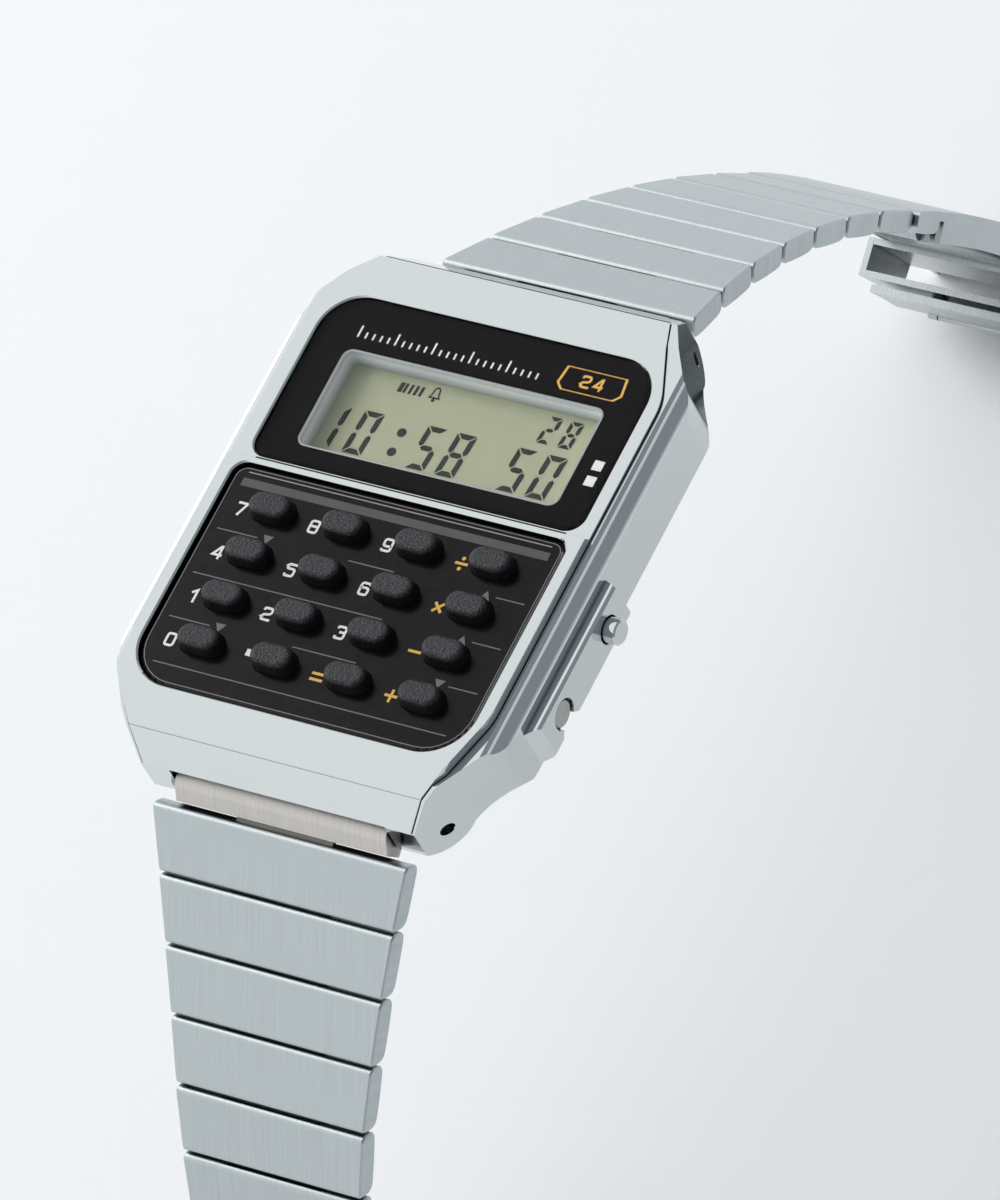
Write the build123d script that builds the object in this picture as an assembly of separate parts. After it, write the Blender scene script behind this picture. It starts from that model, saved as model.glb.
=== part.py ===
from build123d import *
import math
import os

# Calculator watch. Millimetres, +Z out of the dial, +X to 3 o'clock, +Y to 12 o'clock.
# The origin is the middle of the case back's outer face.

# Case
case_length = 43.2
side_width = 32.6
platform_stand = 0.9
platform_top = 4.8
platform_near = -0.2
platform_far = -12.0
platform_near_ramp = 0.3
platform_far_ramp = 0.85
platform_edge = 0.2
frame_width = 29.6
dial_height = 6.75
rim_rise = 0.55
key_rise = 1.45
ridge_height = 5.56
shoulder_height = 6.5
shoulder_width = 30.7
shoulder_drop = 0.15
shoulder_round = 0.3
band_sag = 0.14
side_foot = 1.05
belly_width = 30.4
belly_height = 0.1
corner_start = 14.25
corner_round = 4.0
lug_tip_width = 22.7
lug_tip_low = 0.78
hollow_inner = 13.1
hollow_middle = 15.6
hollow_height = 1.52
hollow_outer = 18.2
hollow_outer_height = 1.05
lug_low = 20.0
lug_low_height = 0.12
back_rim = 0.35
cavity_width = 25.8
cavity_length = 31.8
cavity_round = 5.4
wall_spare = 0.02
overrun = 2.0

# Front frame
frame_base = 5.55
frame_end_low = 3.6
frame_break = 20.05
frame_break_drop = 0.75
rim_break_drop = 1.25
rim_end = 18.0
frame_flat_end = 17.7
frame_corner_start = 13.4
frame_corner_inset_12 = 1.95
frame_corner_inset_6 = 1.4
frame_corner_end = 18.0
frame_tip_inset = 3.7
frame_corner_round = 5.0
frame_fit = 0.06
frame_groove = 0.09
frame_soft = 0.12
frame_bend_round = 0.4
frame_lip_inset = 0.85
frame_lip_drop = 0.45
frame_inner_knee = 19.3
frame_inner_knee_height = 5.0
frame_inner_flat_end = 18.6
frame_edge = 0.25
bar_step_low = 1.55
bar_step_high = 1.85

# Windows
window_side = 1.08
window_low = 2.12
window_high = 16.24
window_round_top = 3.3
window_round_bottom = 1.3
glass_thickness = 0.5
glass_fit = 0.04
glass_bevel = 0.2
ledge = 0.9
keypad_side = 0.95
keypad_low = -17.16
keypad_high = 1.18
keypad_round_top = 1.2
keypad_round_bottom = 3.6
plate_thickness = 1.0
plate_drop = 0.3
plate_bevel = 0.3
plate_fit = 0.05

# Display
opening_side = 1.88
opening_low = 3.8
opening_high = 12.1
opening_round = 0.7
opening_draft = 0.3
bezel_side = 0.97
bezel_low = 3.12
bezel_high = 15.24
bezel_round = 4.6
bezel_depth = 1.5
lcd_side = 0.33
lcd_low = 2.6
lcd_high = 13.0
lcd_thickness = 1.3
layer_gap = 0.05

# Keys
key_columns = 4
key_rows = 4
key_pitch_x = 6.1
key_pitch_y = 3.72
key_first_y = -2.05
key_length = 3.5
key_width = 2.05
key_top_inset = 0.14
key_top_round = 0.42
key_fit = 0.06
key_flange = 0.4
key_flange_thickness = 0.4
key_flange_gap = 0.1
key_travel = 0.35
dome_gap = 0.05
dome_radius = 1.15
dome_height = 0.35
membrane_thickness = 0.4
membrane_width = 24.4
membrane_low = -15.4
membrane_high = 0.6
membrane_round = 4.6

# Module
module_width = 24.4
module_gap = 0.4
module_round = 4.6
module_wall = 1.0
deck_thickness = 1.4
contact_radius = 0.9
board_thickness = 0.7
board_inset = 0.1
strip_width = 1.2
strip_length = 22.0
strip_inset = 0.6
cell_radius = 10.0
cell_rim_radius = 8.9
cell_thickness = 1.5
cell_step = 0.25
cell_y = -2.0
clip_width = 4.0
clip_thickness = 0.2
clip_foot = 1.6
button_bay_width = 3.4
button_bay_depth = 1.6

# Case back
back_width = 28.0
back_length = 34.0
back_round = 4.4
back_thickness = 0.5
back_fit = 0.05
back_edge = 0.15
gasket_width = 0.6
gasket_depth = 0.6
gasket_reach = 0.3
screw_x = 12.15
screw_y = 15.15
screw_head_radius = 0.6
screw_head_height = 0.25
screw_shank_radius = 0.3
screw_length = 2.4
screw_fit = 0.03
screw_head_fit = 0.05

# Side buttons
mode_height = 2.88
mode_y = -2.55
mode_radius = 0.95
mode_stand = 1.0
adjust_y = -9.65
adjust_height = 2.9
adjust_radius = 1.07
adjust_sink = 0.15
button_fit = 0.05
button_flange = 0.35
button_flange_thickness = 0.5
button_travel = 0.6
button_edge = 0.12
button_ring = 0.12
button_ring_depth = 0.3
notch_half_width = 1.52
notch_depth = 0.8
notch_offset = 0.2

# Lugs and spring bars
lug_axis_y = 19.8
lug_axis_height = 1.95
lug_hole_radius = 0.5
slot_half_width = 8.95
slot_start = 18.0
bar_radius = 0.75
bar_half_length = 8.8
bar_tip_radius = 0.45
bar_tip_end = 11.4
bar_edge = 0.15

# Bracelet
pitch = 5.1
link_thickness = 1.6
link_first_half = 10.6
link_last_half = 7.05
taper_links = 7
taper_power = 1.7
link_gap = 0.2
link_far_round = 0.3
link_far_low_round = 0.75
link_near_round = 0.45
link_near_low_round = 0.6
link_belly = 0.1
link_side_edge = 0.12
tongue_half_width = 4.0
tongue_thickness = 0.46
tongue_side_fit = 0.15
knuckle_radius = 0.47
pin_radius = 0.25
pin_fit = 0.04
pin_grip = 1.5
pocket_top = 0.54
pocket_reach = 0.75
end_pitch = 3.8
end_link_half_width = 8.77
end_bar_fit = 0.05
end_barrel_radius = 1.3
end_crown_out = 1.12
end_crown_rise = 1.5
end_shoulder_out = 2.05
end_shoulder_rise = 1.22
links_12 = 7
links_6 = 12
end_slope_12 = 22.5
end_slope_6 = 29.6
first_slope_12 = 33.5
turn_12 = 3.6
first_slope_6 = 47.0
turn_6 = 1.0
upper_links_6 = 4
lower_turn_6 = 5.0

# Clasp
clasp_slope = 55.6
clasp_radius = 90.0
clasp_length = 30.8
clasp_half_width = 7.4
clasp_wall = 0.5
cover_thickness = 0.7
cover_lip = 1.2
cover_fold_end = 2.4
flange_depth = 1.55
flange_start = 3.0
blade_thickness = 0.6
blade_half_width = 5.8
blade_gap = 0.25
blade_step = 1.0
blade_hinge_near = 4.2
blade_hinge_far = 1.6
hinge_knuckle_radius = 0.5
hinge_half_width = 2.4
hinge_side_fit = 0.12
hinge_relief = 0.95
near_knuckle_radius = 0.78
near_knuckle_half_width = 5.0
lock_start = 20.0
lock_end = 26.5
lock_wall = 0.5
lock_channel = 2.0
lock_channel_half_width = 7.25
lock_side = 0.5
flap_length = 5.5
flap_thickness = 0.6
flap_half_width = 6.4
flap_gap = 0.15
flap_axis_inset = 1.0
flap_axis_drop = 0.75
ear_half_gap = 3.0
ear_thickness = 0.8

side_half = side_width / 2
platform_reach = side_half + platform_stand
mode_reach = platform_reach + mode_stand
frame_half = frame_width / 2
window_width = frame_width - 2 * window_side
keypad_width = frame_width - 2 * keypad_side
bezel_width = window_width - 2 * bezel_side
opening_width = bezel_width - 2 * opening_side
lcd_width = opening_width + 2 * lcd_side
module_length = cavity_length - 2 * module_gap
case_half = case_length / 2
rim_height = dial_height + rim_rise
plate_top = rim_height - plate_drop
plate_base = plate_top - plate_thickness
glass_base = dial_height - glass_thickness
key_top = dial_height + key_rise
lcd_top = glass_base - bezel_depth - layer_gap
flange_top = plate_base - key_flange_gap
flange_base = flange_top - key_flange_thickness
dome_top = flange_base - key_travel - dome_gap
membrane_top = dome_top - dome_height
membrane_base = membrane_top - membrane_thickness
deck_base = membrane_base - deck_thickness
board_top = deck_base
board_base = board_top - board_thickness
cavity_half = cavity_width / 2
half_thickness = link_thickness / 2


def plan_prism(points, low, high):
    """A polygon in plan, raised from one height to another."""
    face = make_face(Polyline(*points, close=True))
    return Pos(0, 0, low) * extrude(face, high - low)


def side_prism(points, low, high):
    """A polygon in the Y-Z plane, drawn out along X from one place to another."""
    face = Plane.YZ * make_face(Polyline(*points, close=True))
    return Pos(low, 0, 0) * extrude(face, high - low)


def slab(width, y_low, y_high, low, high):
    """A plain block centred on X."""
    middle = (y_low + y_high) / 2
    block = Box(width, y_high - y_low, high - low)
    return Pos(0, middle, (low + high) / 2) * block


def rounded_slab(width, y_low, y_high, low, high, low_round, high_round):
    """A block with its own corner radius at each end."""
    face = Rectangle(width, y_high - y_low)
    ends = face.vertices().group_by(Axis.Y)
    face = fillet(ends[-1], high_round)
    face = fillet(face.vertices().sort_by(Axis.Y)[:2], low_round)
    return Pos(0, (y_low + y_high) / 2, low) * extrude(face, high - low)


def even_slab(width, y_low, y_high, low, high, radius):
    return rounded_slab(width, y_low, y_high, low, high, radius, radius)


def cross_pin(radius, x_low, x_high, y, z):
    """A cylinder along X."""
    pin = Rot(0, 90, 0) * Cylinder(radius, x_high - x_low)
    return Pos((x_low + x_high) / 2, y, z) * pin


def both_ends(shape):
    return shape + mirror(shape, Plane.XZ)


def both_sides(shape):
    return shape + mirror(shape, Plane.YZ)


def slot_face(length, width):
    return SlotOverall(length, width)


# Case body

def body_section():
    """The stepped side of the case: belly, flat wall, hollow band and shoulder beside the frame."""
    shoulder_half = shoulder_width / 2
    wall = side_half + wall_spare
    wall_top = (wall, ridge_height)
    band_top = (shoulder_half, shoulder_height - shoulder_drop)
    band_middle = (
        (wall_top[0] + band_top[0]) / 2 - band_sag,
        (wall_top[1] + band_top[1]) / 2 - band_sag,
    )
    lower = Polyline(
        (0, belly_height),
        (belly_width / 2, belly_height),
        (wall, side_foot),
        wall_top,
    )
    band = ThreePointArc(wall_top, band_middle, band_top)
    upper = Polyline(
        band_top,
        (shoulder_half - shoulder_round, shoulder_height),
        (0, shoulder_height),
        (0, belly_height),
    )
    return make_face(Curve() + [lower, band, upper])


def body_outline():
    """The plan of the case, whose corners run to the lugs in one flat facet each."""
    points = [
        (side_half, corner_start),
        (lug_tip_width / 2, case_half),
        (-lug_tip_width / 2, case_half),
        (-side_half, corner_start),
        (-side_half, -corner_start),
        (-lug_tip_width / 2, -case_half),
        (lug_tip_width / 2, -case_half),
        (side_half, -corner_start),
    ]
    face = make_face(Polyline(*points, close=True))
    shoulders = [v for v in face.vertices() if abs(v.Y) < case_half - shoulder_round]
    return fillet(shoulders, corner_round)


def frame_profile():
    """The frame's top line from the 6 o'clock end to the 12 o'clock end."""
    return [
        (-case_half, frame_end_low),
        (-frame_break, rim_height - rim_break_drop),
        (-rim_end, rim_height),
        (bar_step_low, rim_height),
        (bar_step_high, dial_height),
        (frame_flat_end, dial_height),
        (frame_break, dial_height - frame_break_drop),
        (case_half, frame_end_low),
    ]


def frame_underside(fit):
    """The frame's lower line, with a fit under its slopes, from the 12 o'clock end back."""
    tip = (case_half - frame_lip_inset - fit, frame_end_low - frame_lip_drop - fit)
    knee = (frame_inner_knee - fit, frame_inner_knee_height - fit)
    flat = (frame_inner_flat_end - fit, frame_base)
    outward = [tip, knee, flat]
    return outward + [(-y, z) for y, z in reversed(outward)]


def body_end_cut():
    """What lies above the case body's own end slopes, just under the frame's."""
    line = [(y, z - shoulder_drop) for y, z in frame_profile()]
    sky = shoulder_height + overrun
    points = [(-case_half - overrun, frame_end_low - overrun * 2)] + line
    points += [(case_half + overrun, frame_end_low - overrun * 2)]
    points += [(case_half + overrun, sky), (-case_half - overrun, sky)]
    return side_prism(points, -side_half - overrun, side_half + overrun)


def frame_outline(fit):
    """The plan of the front frame, with a fit added all round."""
    wide = frame_half + fit
    tip = (wide - frame_tip_inset, case_half + fit)
    corner_12 = (wide - frame_corner_inset_12, frame_corner_end)
    corner_6 = (wide - frame_corner_inset_6, -frame_corner_end)
    right = [
        tip,
        corner_12,
        (wide, frame_corner_start),
        (wide, -frame_corner_start),
        corner_6,
        (tip[0], -tip[1]),
    ]
    points = right + [(-x, y) for x, y in reversed(right)]
    face = make_face(Polyline(*points, close=True))
    corners = [v for v in face.vertices() if abs(v.Y) < frame_corner_start + fit + frame_edge]
    return fillet(corners, frame_corner_round)


def frame_pocket():
    """The space the front frame takes out of the case body."""
    sky = rim_height + overrun
    reach = case_half + overrun
    lip = frame_end_low + overrun * frame_lip_drop / frame_lip_inset - 2 * frame_fit
    points = [(reach, lip)] + frame_underside(frame_fit) + [(-reach, lip)]
    points += [(-reach, sky), (reach, sky)]
    block = side_prism(points, -frame_width, frame_width)
    return block & extrude(frame_outline(frame_fit), sky)


def belly_hollows():
    """The shallow arch under each end, outside the back's rim, and the lugs' round undersides."""
    hollow = ThreePointArc(
        (hollow_inner, belly_height),
        (hollow_middle, hollow_height),
        (hollow_outer, hollow_outer_height),
    )
    lug = ThreePointArc(
        (hollow_outer, hollow_outer_height), (lug_low, lug_low_height), (case_half, lug_tip_low)
    )
    close = Polyline(
        (case_half, lug_tip_low),
        (case_half + overrun, lug_tip_low),
        (case_half + overrun, belly_height - overrun),
        (hollow_inner, belly_height - overrun),
        (hollow_inner, belly_height),
    )
    face = Plane.YZ * make_face(Curve() + [hollow, lug, close])
    return both_ends(extrude(face, side_width, both=True)) - back_outline(back_rim, overrun)


def button_platform():
    """The raised block on the right side that carries both buttons."""
    root = side_half - platform_stand
    points = [
        (root, platform_near + 2 * platform_near_ramp),
        (platform_reach, platform_near),
        (platform_reach, platform_far),
        (root, platform_far - 2 * platform_far_ramp),
    ]
    block = plan_prism(points, side_foot + platform_edge, platform_top)
    edges = block.edges().filter_by(Axis.Y).sort_by(Axis.X)[-2:]
    return chamfer(edges, platform_edge)


def button_cuts():
    """The round holes for the two buttons, each with a ring, and the notch at the lower one."""
    inside = cavity_half - overrun
    outside = platform_reach + overrun
    holes = cross_pin(mode_radius + button_fit, inside, outside, mode_y, mode_height)
    holes += cross_pin(adjust_radius + button_fit, inside, outside, adjust_y, adjust_height)
    floor = platform_reach - button_ring_depth
    holes += cross_pin(mode_radius + button_ring, floor, outside, mode_y, mode_height)
    holes += cross_pin(adjust_radius + button_ring, floor, outside, adjust_y, adjust_height)
    low = side_foot - overrun
    spread = notch_half_width * (adjust_height - low) / (adjust_height - side_foot)
    notch = [
        (adjust_y, adjust_height),
        (adjust_y + notch_offset - spread, low),
        (adjust_y + notch_offset + spread, low),
    ]
    return holes + side_prism(notch, platform_reach - notch_depth, outside)


def back_outline(margin, height):
    """A block with the case back's plan and a margin, up to a height."""
    half = back_length / 2 + margin
    return even_slab(back_width + 2 * margin, -half, half, -overrun, height, back_round + margin)


def make_case_body():
    half = extrude(Plane.XZ * body_section(), case_half + overrun, both=True)
    body = both_sides(half & extrude(body_outline(), rim_height))
    body -= body_end_cut()
    body += button_platform()
    body -= even_slab(
        cavity_width, -cavity_length / 2, cavity_length / 2, -overrun, rim_height, cavity_round
    )
    body -= frame_pocket()
    body -= back_outline(back_fit, back_thickness)
    body -= gasket_seat()
    slot = slab(
        2 * slot_half_width, slot_start, case_half + overrun, -overrun, frame_base + frame_fit
    )
    body -= both_ends(slot)
    body -= belly_hollows()
    body -= both_ends(
        cross_pin(lug_hole_radius, -side_half, side_half, lug_axis_y, lug_axis_height)
    )
    body -= button_cuts()
    for hole in screw_places():
        body -= hole * (Pos(0, 0, screw_length / 2) * Cylinder(
            screw_shank_radius + screw_fit, screw_length + overrun
        ))
    return body


# Front frame and its windows

def window_block(low, high, inset):
    return rounded_slab(
        window_width - 2 * inset,
        window_low + inset,
        window_high - inset,
        low,
        high,
        window_round_bottom - inset / 2,
        window_round_top - inset,
    )


def keypad_block(low, high, inset):
    return rounded_slab(
        keypad_width - 2 * inset,
        keypad_low + inset,
        keypad_high - inset,
        low,
        high,
        keypad_round_bottom - inset,
        keypad_round_top - inset / 2,
    )


def end_groove(y, z):
    """A fine V across the frame, where its two end slopes meet."""
    points = [
        (y - frame_groove, z),
        (y, z - frame_groove),
        (y + frame_groove, z),
        (y, z + frame_groove),
    ]
    return side_prism(points, -frame_width, frame_width)


def opening_edges(frame):
    """The upper edges of the two openings."""
    tops = [f for f in frame.faces().filter_by(Axis.Z) if f.center().Z > dial_height - frame_soft]
    return [edge for face in tops for wire in face.inner_wires() for edge in wire.edges()]


def make_front_frame():
    line = frame_profile() + frame_underside(0)
    solid = side_prism(line, -frame_width, frame_width)
    bends = solid.edges().filter_by(Axis.X).filter_by_position(Axis.Z, dial_height, rim_height)
    solid = fillet(bends.sort_by(Axis.Y)[0], frame_bend_round)
    bends = solid.edges().filter_by(Axis.X).filter_by_position(Axis.Z, dial_height, rim_height)
    solid = fillet(bends.sort_by(Axis.Y)[-1], frame_bend_round)
    solid &= extrude(frame_outline(0), rim_height + overrun)
    solid -= end_groove(frame_break, dial_height - frame_break_drop)
    solid -= end_groove(-frame_break, rim_height - rim_break_drop)
    solid -= window_block(glass_base, rim_height + overrun, 0)
    solid -= window_block(frame_base - overrun, rim_height, ledge)
    solid -= keypad_block(plate_base, rim_height + overrun, 0)
    solid = chamfer(opening_edges(solid), frame_soft)
    solid -= keypad_block(frame_base - overrun, rim_height, ledge)
    return solid


def make_display_window():
    glass = window_block(glass_base, dial_height, glass_fit)
    return chamfer(glass.faces().sort_by(Axis.Z)[-1].edges(), glass_bevel)


def make_display_bezel():
    top = glass_base - layer_gap
    ring = even_slab(bezel_width, bezel_low, bezel_high, top - bezel_depth, top, bezel_round)
    face = RectangleRounded(opening_width, opening_high - opening_low, opening_round)
    floor = RectangleRounded(
        opening_width - 2 * opening_draft,
        opening_high - opening_low - 2 * opening_draft,
        opening_round - opening_draft,
    )
    middle = (opening_low + opening_high) / 2
    hole = loft([Pos(0, middle, top) * face, Pos(0, middle, top - bezel_depth) * floor])
    return ring - hole


def make_lcd_panel():
    return slab(lcd_width, lcd_low, lcd_high, lcd_top - lcd_thickness, lcd_top)


def key_places():
    """Every key's centre, row by row from the top left."""
    places = []
    for row in range(key_rows):
        for column in range(key_columns):
            x = (column - (key_columns - 1) / 2) * key_pitch_x
            places.append((x, key_first_y - row * key_pitch_y))
    return places


def make_keypad_plate():
    plate = keypad_block(plate_base, plate_top, plate_fit)
    plate = chamfer(plate.faces().sort_by(Axis.Z)[-1].edges(), plate_bevel)
    hole = extrude(slot_face(key_length + 2 * key_fit, key_width + 2 * key_fit), rim_height)
    for x, y in key_places():
        plate -= Pos(x, y, plate_base - layer_gap) * hole
    return plate


def make_key(x, y):
    """A moulded key: a slightly drawn-in stem with a round top, and a flange that keeps it in."""
    stem = extrude(slot_face(key_length, key_width), plate_top - flange_top)
    cap_height = key_top - plate_top
    draft = math.degrees(math.atan(key_top_inset / cap_height))
    cap = extrude(slot_face(key_length, key_width), cap_height, taper=draft)
    cap = fillet(cap.faces().sort_by(Axis.Z)[-1].edges(), key_top_round)
    foot = extrude(
        slot_face(key_length + 2 * key_flange, key_width + 2 * key_flange), key_flange_thickness
    )
    key = Pos(0, 0, flange_base) * foot + Pos(0, 0, flange_top) * stem
    key += Pos(0, 0, plate_top) * cap
    return Pos(x, y, 0) * key


# Inside the case

def make_key_membrane():
    sheet = even_slab(
        membrane_width, membrane_low, membrane_high, membrane_base, membrane_top, membrane_round
    )
    dome = Cone(dome_radius, dome_radius - dome_height, dome_height)
    for x, y in key_places():
        sheet += Pos(x, y, membrane_top + dome_height / 2) * dome
    return sheet


def make_module_frame():
    """The moulded carrier: a deck under the keys, walls round the display."""
    half = module_length / 2
    frame = even_slab(module_width, -half, half, deck_base, membrane_base, module_round)
    well = lcd_high + layer_gap
    frame -= slab(lcd_width + 2 * layer_gap, lcd_low - layer_gap, well, deck_base - overrun, lcd_top)
    for x, y in key_places():
        frame -= Pos(x, y, deck_base) * Cylinder(contact_radius, 2 * overrun)
    bay = Box(2 * button_bay_depth, button_bay_width, 2 * overrun)
    for y in (mode_y, adjust_y):
        frame -= Pos(module_width / 2, y, deck_base) * bay
    return frame


def make_circuit_board():
    half = module_length / 2 - board_inset
    board = even_slab(
        module_width - 2 * board_inset, -half, half, board_base, board_top, module_round
    )
    bay = Box(2 * button_bay_depth, button_bay_width, 2 * overrun)
    for y in (mode_y, adjust_y):
        board -= Pos(module_width / 2, y, board_top) * bay
    return board


def make_contact_strips():
    """Two rubber contact strips between the board and the display glass."""
    low = lcd_low + strip_inset
    high = lcd_high - strip_inset - strip_width
    top = lcd_top - lcd_thickness
    strips = [slab(strip_length, y, y + strip_width, board_top, top) for y in (low, high)]
    return Compound(children=strips)


def cell_base():
    return board_base - layer_gap - cell_thickness


def make_coin_cell():
    base = cell_base()
    wide = Pos(0, cell_y, base + (cell_thickness - cell_step) / 2) * Cylinder(
        cell_radius, cell_thickness - cell_step
    )
    narrow = Pos(0, cell_y, base + cell_thickness / 2) * Cylinder(cell_rim_radius, cell_thickness)
    return wide + narrow


def make_cell_clip():
    """The sprung contact that stands on the board and touches the cell's rim."""
    x = cell_radius + layer_gap
    wall = Pos(x + clip_thickness / 2, cell_y, (cell_base() + board_base) / 2) * Box(
        clip_thickness, clip_width, board_base - cell_base()
    )
    foot = Pos(x + clip_foot / 2, cell_y, board_base - clip_thickness / 2) * Box(
        clip_foot, clip_width, clip_thickness
    )
    return wall + foot


def gasket_seat():
    """The step round the cavity that the seal lies in."""
    half = cavity_length / 2 + gasket_reach
    return even_slab(
        cavity_width + 2 * gasket_reach,
        -half,
        half,
        back_thickness,
        back_thickness + gasket_depth,
        cavity_round + gasket_reach,
    )


def make_case_gasket():
    inset = gasket_reach - gasket_width
    half = cavity_length / 2 + inset
    hole = even_slab(
        cavity_width + 2 * inset,
        -half,
        half,
        back_thickness - overrun,
        back_thickness + overrun,
        cavity_round + inset,
    )
    return gasket_seat() - hole


def screw_places():
    return [Pos(x, y, 0) for x in (-screw_x, screw_x) for y in (-screw_y, screw_y)]


def make_case_back():
    half = back_length / 2
    plate = even_slab(back_width, -half, half, 0, back_thickness, back_round)
    plate = chamfer(plate.faces().sort_by(Axis.Z)[0].edges(), back_edge)
    head = Cone(screw_head_radius + screw_head_fit, screw_shank_radius + screw_fit, screw_head_height)
    for place in screw_places():
        plate -= place * (Pos(0, 0, screw_head_height / 2) * head)
        plate -= place * Cylinder(screw_shank_radius + screw_fit, overrun)
    return plate


def make_case_screws():
    screws = []
    head = Cone(screw_head_radius, screw_shank_radius, screw_head_height)
    shank = Cylinder(screw_shank_radius, screw_length - screw_head_height)
    for place in screw_places():
        one = Pos(0, 0, screw_head_height / 2) * head
        one += Pos(0, 0, (screw_length + screw_head_height) / 2) * shank
        screws.append(place * one)
    return Compound(children=screws)


# Buttons and spring bars

def make_button(y, height, radius, reach):
    """A push-piece through the wall, with a flange inside that keeps it in."""
    stop = cavity_half - button_fit
    shaft = cross_pin(radius, stop - button_flange_thickness, reach, y, height)
    tip = shaft.faces().sort_by(Axis.X)[-1].edges()
    shaft = chamfer(tip, button_edge)
    flange = cross_pin(radius + button_flange, stop - button_flange_thickness, stop, y, height)
    return shaft + flange


def make_mode_button():
    return make_button(mode_y, mode_height, mode_radius, mode_reach)


def make_adjust_button():
    return make_button(adjust_y, adjust_height, adjust_radius, platform_reach - adjust_sink)


def make_spring_bars():
    """A tube with a sprung tip at each end, one bar per lug pair."""
    bar = cross_pin(bar_radius, -bar_half_length, bar_half_length, lug_axis_y, lug_axis_height)
    bar = chamfer(bar.edges(), bar_edge)
    bar += cross_pin(bar_tip_radius, -bar_tip_end, bar_tip_end, lug_axis_y, lug_axis_height)
    return Compound(children=[bar, mirror(bar, Plane.XZ)])


# Bracelet. A link is drawn along +Y from its near hinge, with +Z outwards, then placed.

def half_width(index):
    """Half of the bracelet's width at a link's near end."""
    left = max(0, 1 - index / taper_links)
    return link_last_half + (link_first_half - link_last_half) * left ** taper_power


def tongue(start, hinge):
    """The tongue at a link's far end, rolled round the next link's pin."""
    bar = side_prism(
        [
            (start - link_far_round, -tongue_thickness / 2),
            (hinge, -tongue_thickness / 2),
            (hinge, tongue_thickness / 2),
            (start - link_far_round, tongue_thickness / 2),
        ],
        -tongue_half_width,
        tongue_half_width,
    )
    bar += cross_pin(knuckle_radius, -tongue_half_width, tongue_half_width, hinge, 0)
    return bar - cross_pin(
        pin_radius + pin_fit, -tongue_half_width - overrun, tongue_half_width + overrun, hinge, 0
    )


def hinge_pocket():
    """The room inside a folded near end for the tongue, open below and towards the case."""
    wide = tongue_half_width + tongue_side_fit
    return side_prism(
        [
            (-link_thickness, pocket_top),
            (pocket_reach, pocket_top),
            (pocket_reach, -link_thickness),
            (-link_thickness, -link_thickness),
        ],
        -wide,
        wide,
    )


def hinge_pin():
    reach = tongue_half_width + tongue_side_fit + pin_grip
    return cross_pin(pin_radius, -reach, reach, 0, 0)


def folded_section(end):
    """A link seen from the side: a fold at the near end, a bowed underside, a rolled far end."""
    top = half_thickness
    under = ThreePointArc((-top, -top), ((end - top) / 2, -top - link_belly), (end, -top))
    rest = Polyline((end, -top), (end, top), (-top, top), (-top, -top))
    face = make_face(Curve() + [under, rest])
    corners = [
        ((-top, top), link_near_round),
        ((-top, -top), link_near_low_round),
        ((end, -top), link_far_low_round),
        ((end, top), link_far_round),
    ]
    for corner, radius in corners:
        face = fillet(face.vertices().sort_by_distance(corner)[0], radius)
    return Plane.YZ * face


def link_end():
    """Where a link's body stops, short of the next link's fold."""
    return pitch - half_thickness - link_gap


def make_link(near_half, far_half, last):
    end = link_end()
    body = extrude(folded_section(end), link_first_half, both=True)
    plan = [
        (near_half, -half_thickness),
        (far_half, end),
        (-far_half, end),
        (-near_half, -half_thickness),
    ]
    body &= plan_prism(plan, -link_thickness, link_thickness)
    sides = body.faces().sort_by(Axis.X)
    body = chamfer(sides[-1].edges() + sides[0].edges(), link_side_edge)
    body -= hinge_pocket()
    if not last:
        body += tongue(end, pitch)
    hinge = hinge_pin()
    body -= hinge
    return Compound(children=[body, hinge])


def make_end_link():
    """The narrow first piece between the lugs: a barrel on the spring bar with a crowned cover."""
    end = end_pitch - half_thickness - link_gap
    crown = Spline(
        (0, end_barrel_radius),
        (end_crown_out, end_crown_rise),
        (end_shoulder_out, end_shoulder_rise),
        tangents=[(1, 0), (1, -1)],
    )
    back = ThreePointArc((0, -end_barrel_radius), (-end_barrel_radius, 0), (0, end_barrel_radius))
    face_line = Polyline(
        (end_shoulder_out, end_shoulder_rise),
        (end, half_thickness),
        (end, -half_thickness),
        (0, -end_barrel_radius),
    )
    section = Plane.YZ * make_face(Curve() + [crown, face_line, back])
    body = extrude(section, end_link_half_width, both=True)
    body += tongue(end, end_pitch)
    return body - cross_pin(
        bar_radius + end_bar_fit, -end_link_half_width - overrun, end_link_half_width + overrun, 0, 0
    )


def place(shape, side, pivot, slope):
    """Turns a piece down by its slope and carries it to its hinge, on one side of the case."""
    turned = Rot(-slope, 0, 0) * shape
    if side < 0:
        turned = Rot(0, 0, 180) * turned
    return Pos(0, side * pivot[0], pivot[1]) * turned


def slopes(side):
    """Each full link's slope below the dial's plane."""
    if side > 0:
        return [first_slope_12 + turn_12 * i for i in range(links_12)]
    upper = [first_slope_6 + turn_6 * i for i in range(upper_links_6)]
    rest = range(1, links_6 - upper_links_6 + 1)
    return upper + [upper[-1] + lower_turn_6 * i for i in rest]


def pivots(side):
    """The hinges along a strand, from the spring bar out, as distances out and heights."""
    end_slope = end_slope_12 if side > 0 else end_slope_6
    points = [(lug_axis_y, lug_axis_height)]
    steps = [(end_pitch, end_slope)] + [(pitch, slope) for slope in slopes(side)]
    for length, slope in steps:
        y, z = points[-1]
        angle = math.radians(slope)
        points.append((y + length * math.cos(angle), z - length * math.sin(angle)))
    return points


# Clasp, drawn along +Y from its hinge on the last link, curving down towards the wrist

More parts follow.
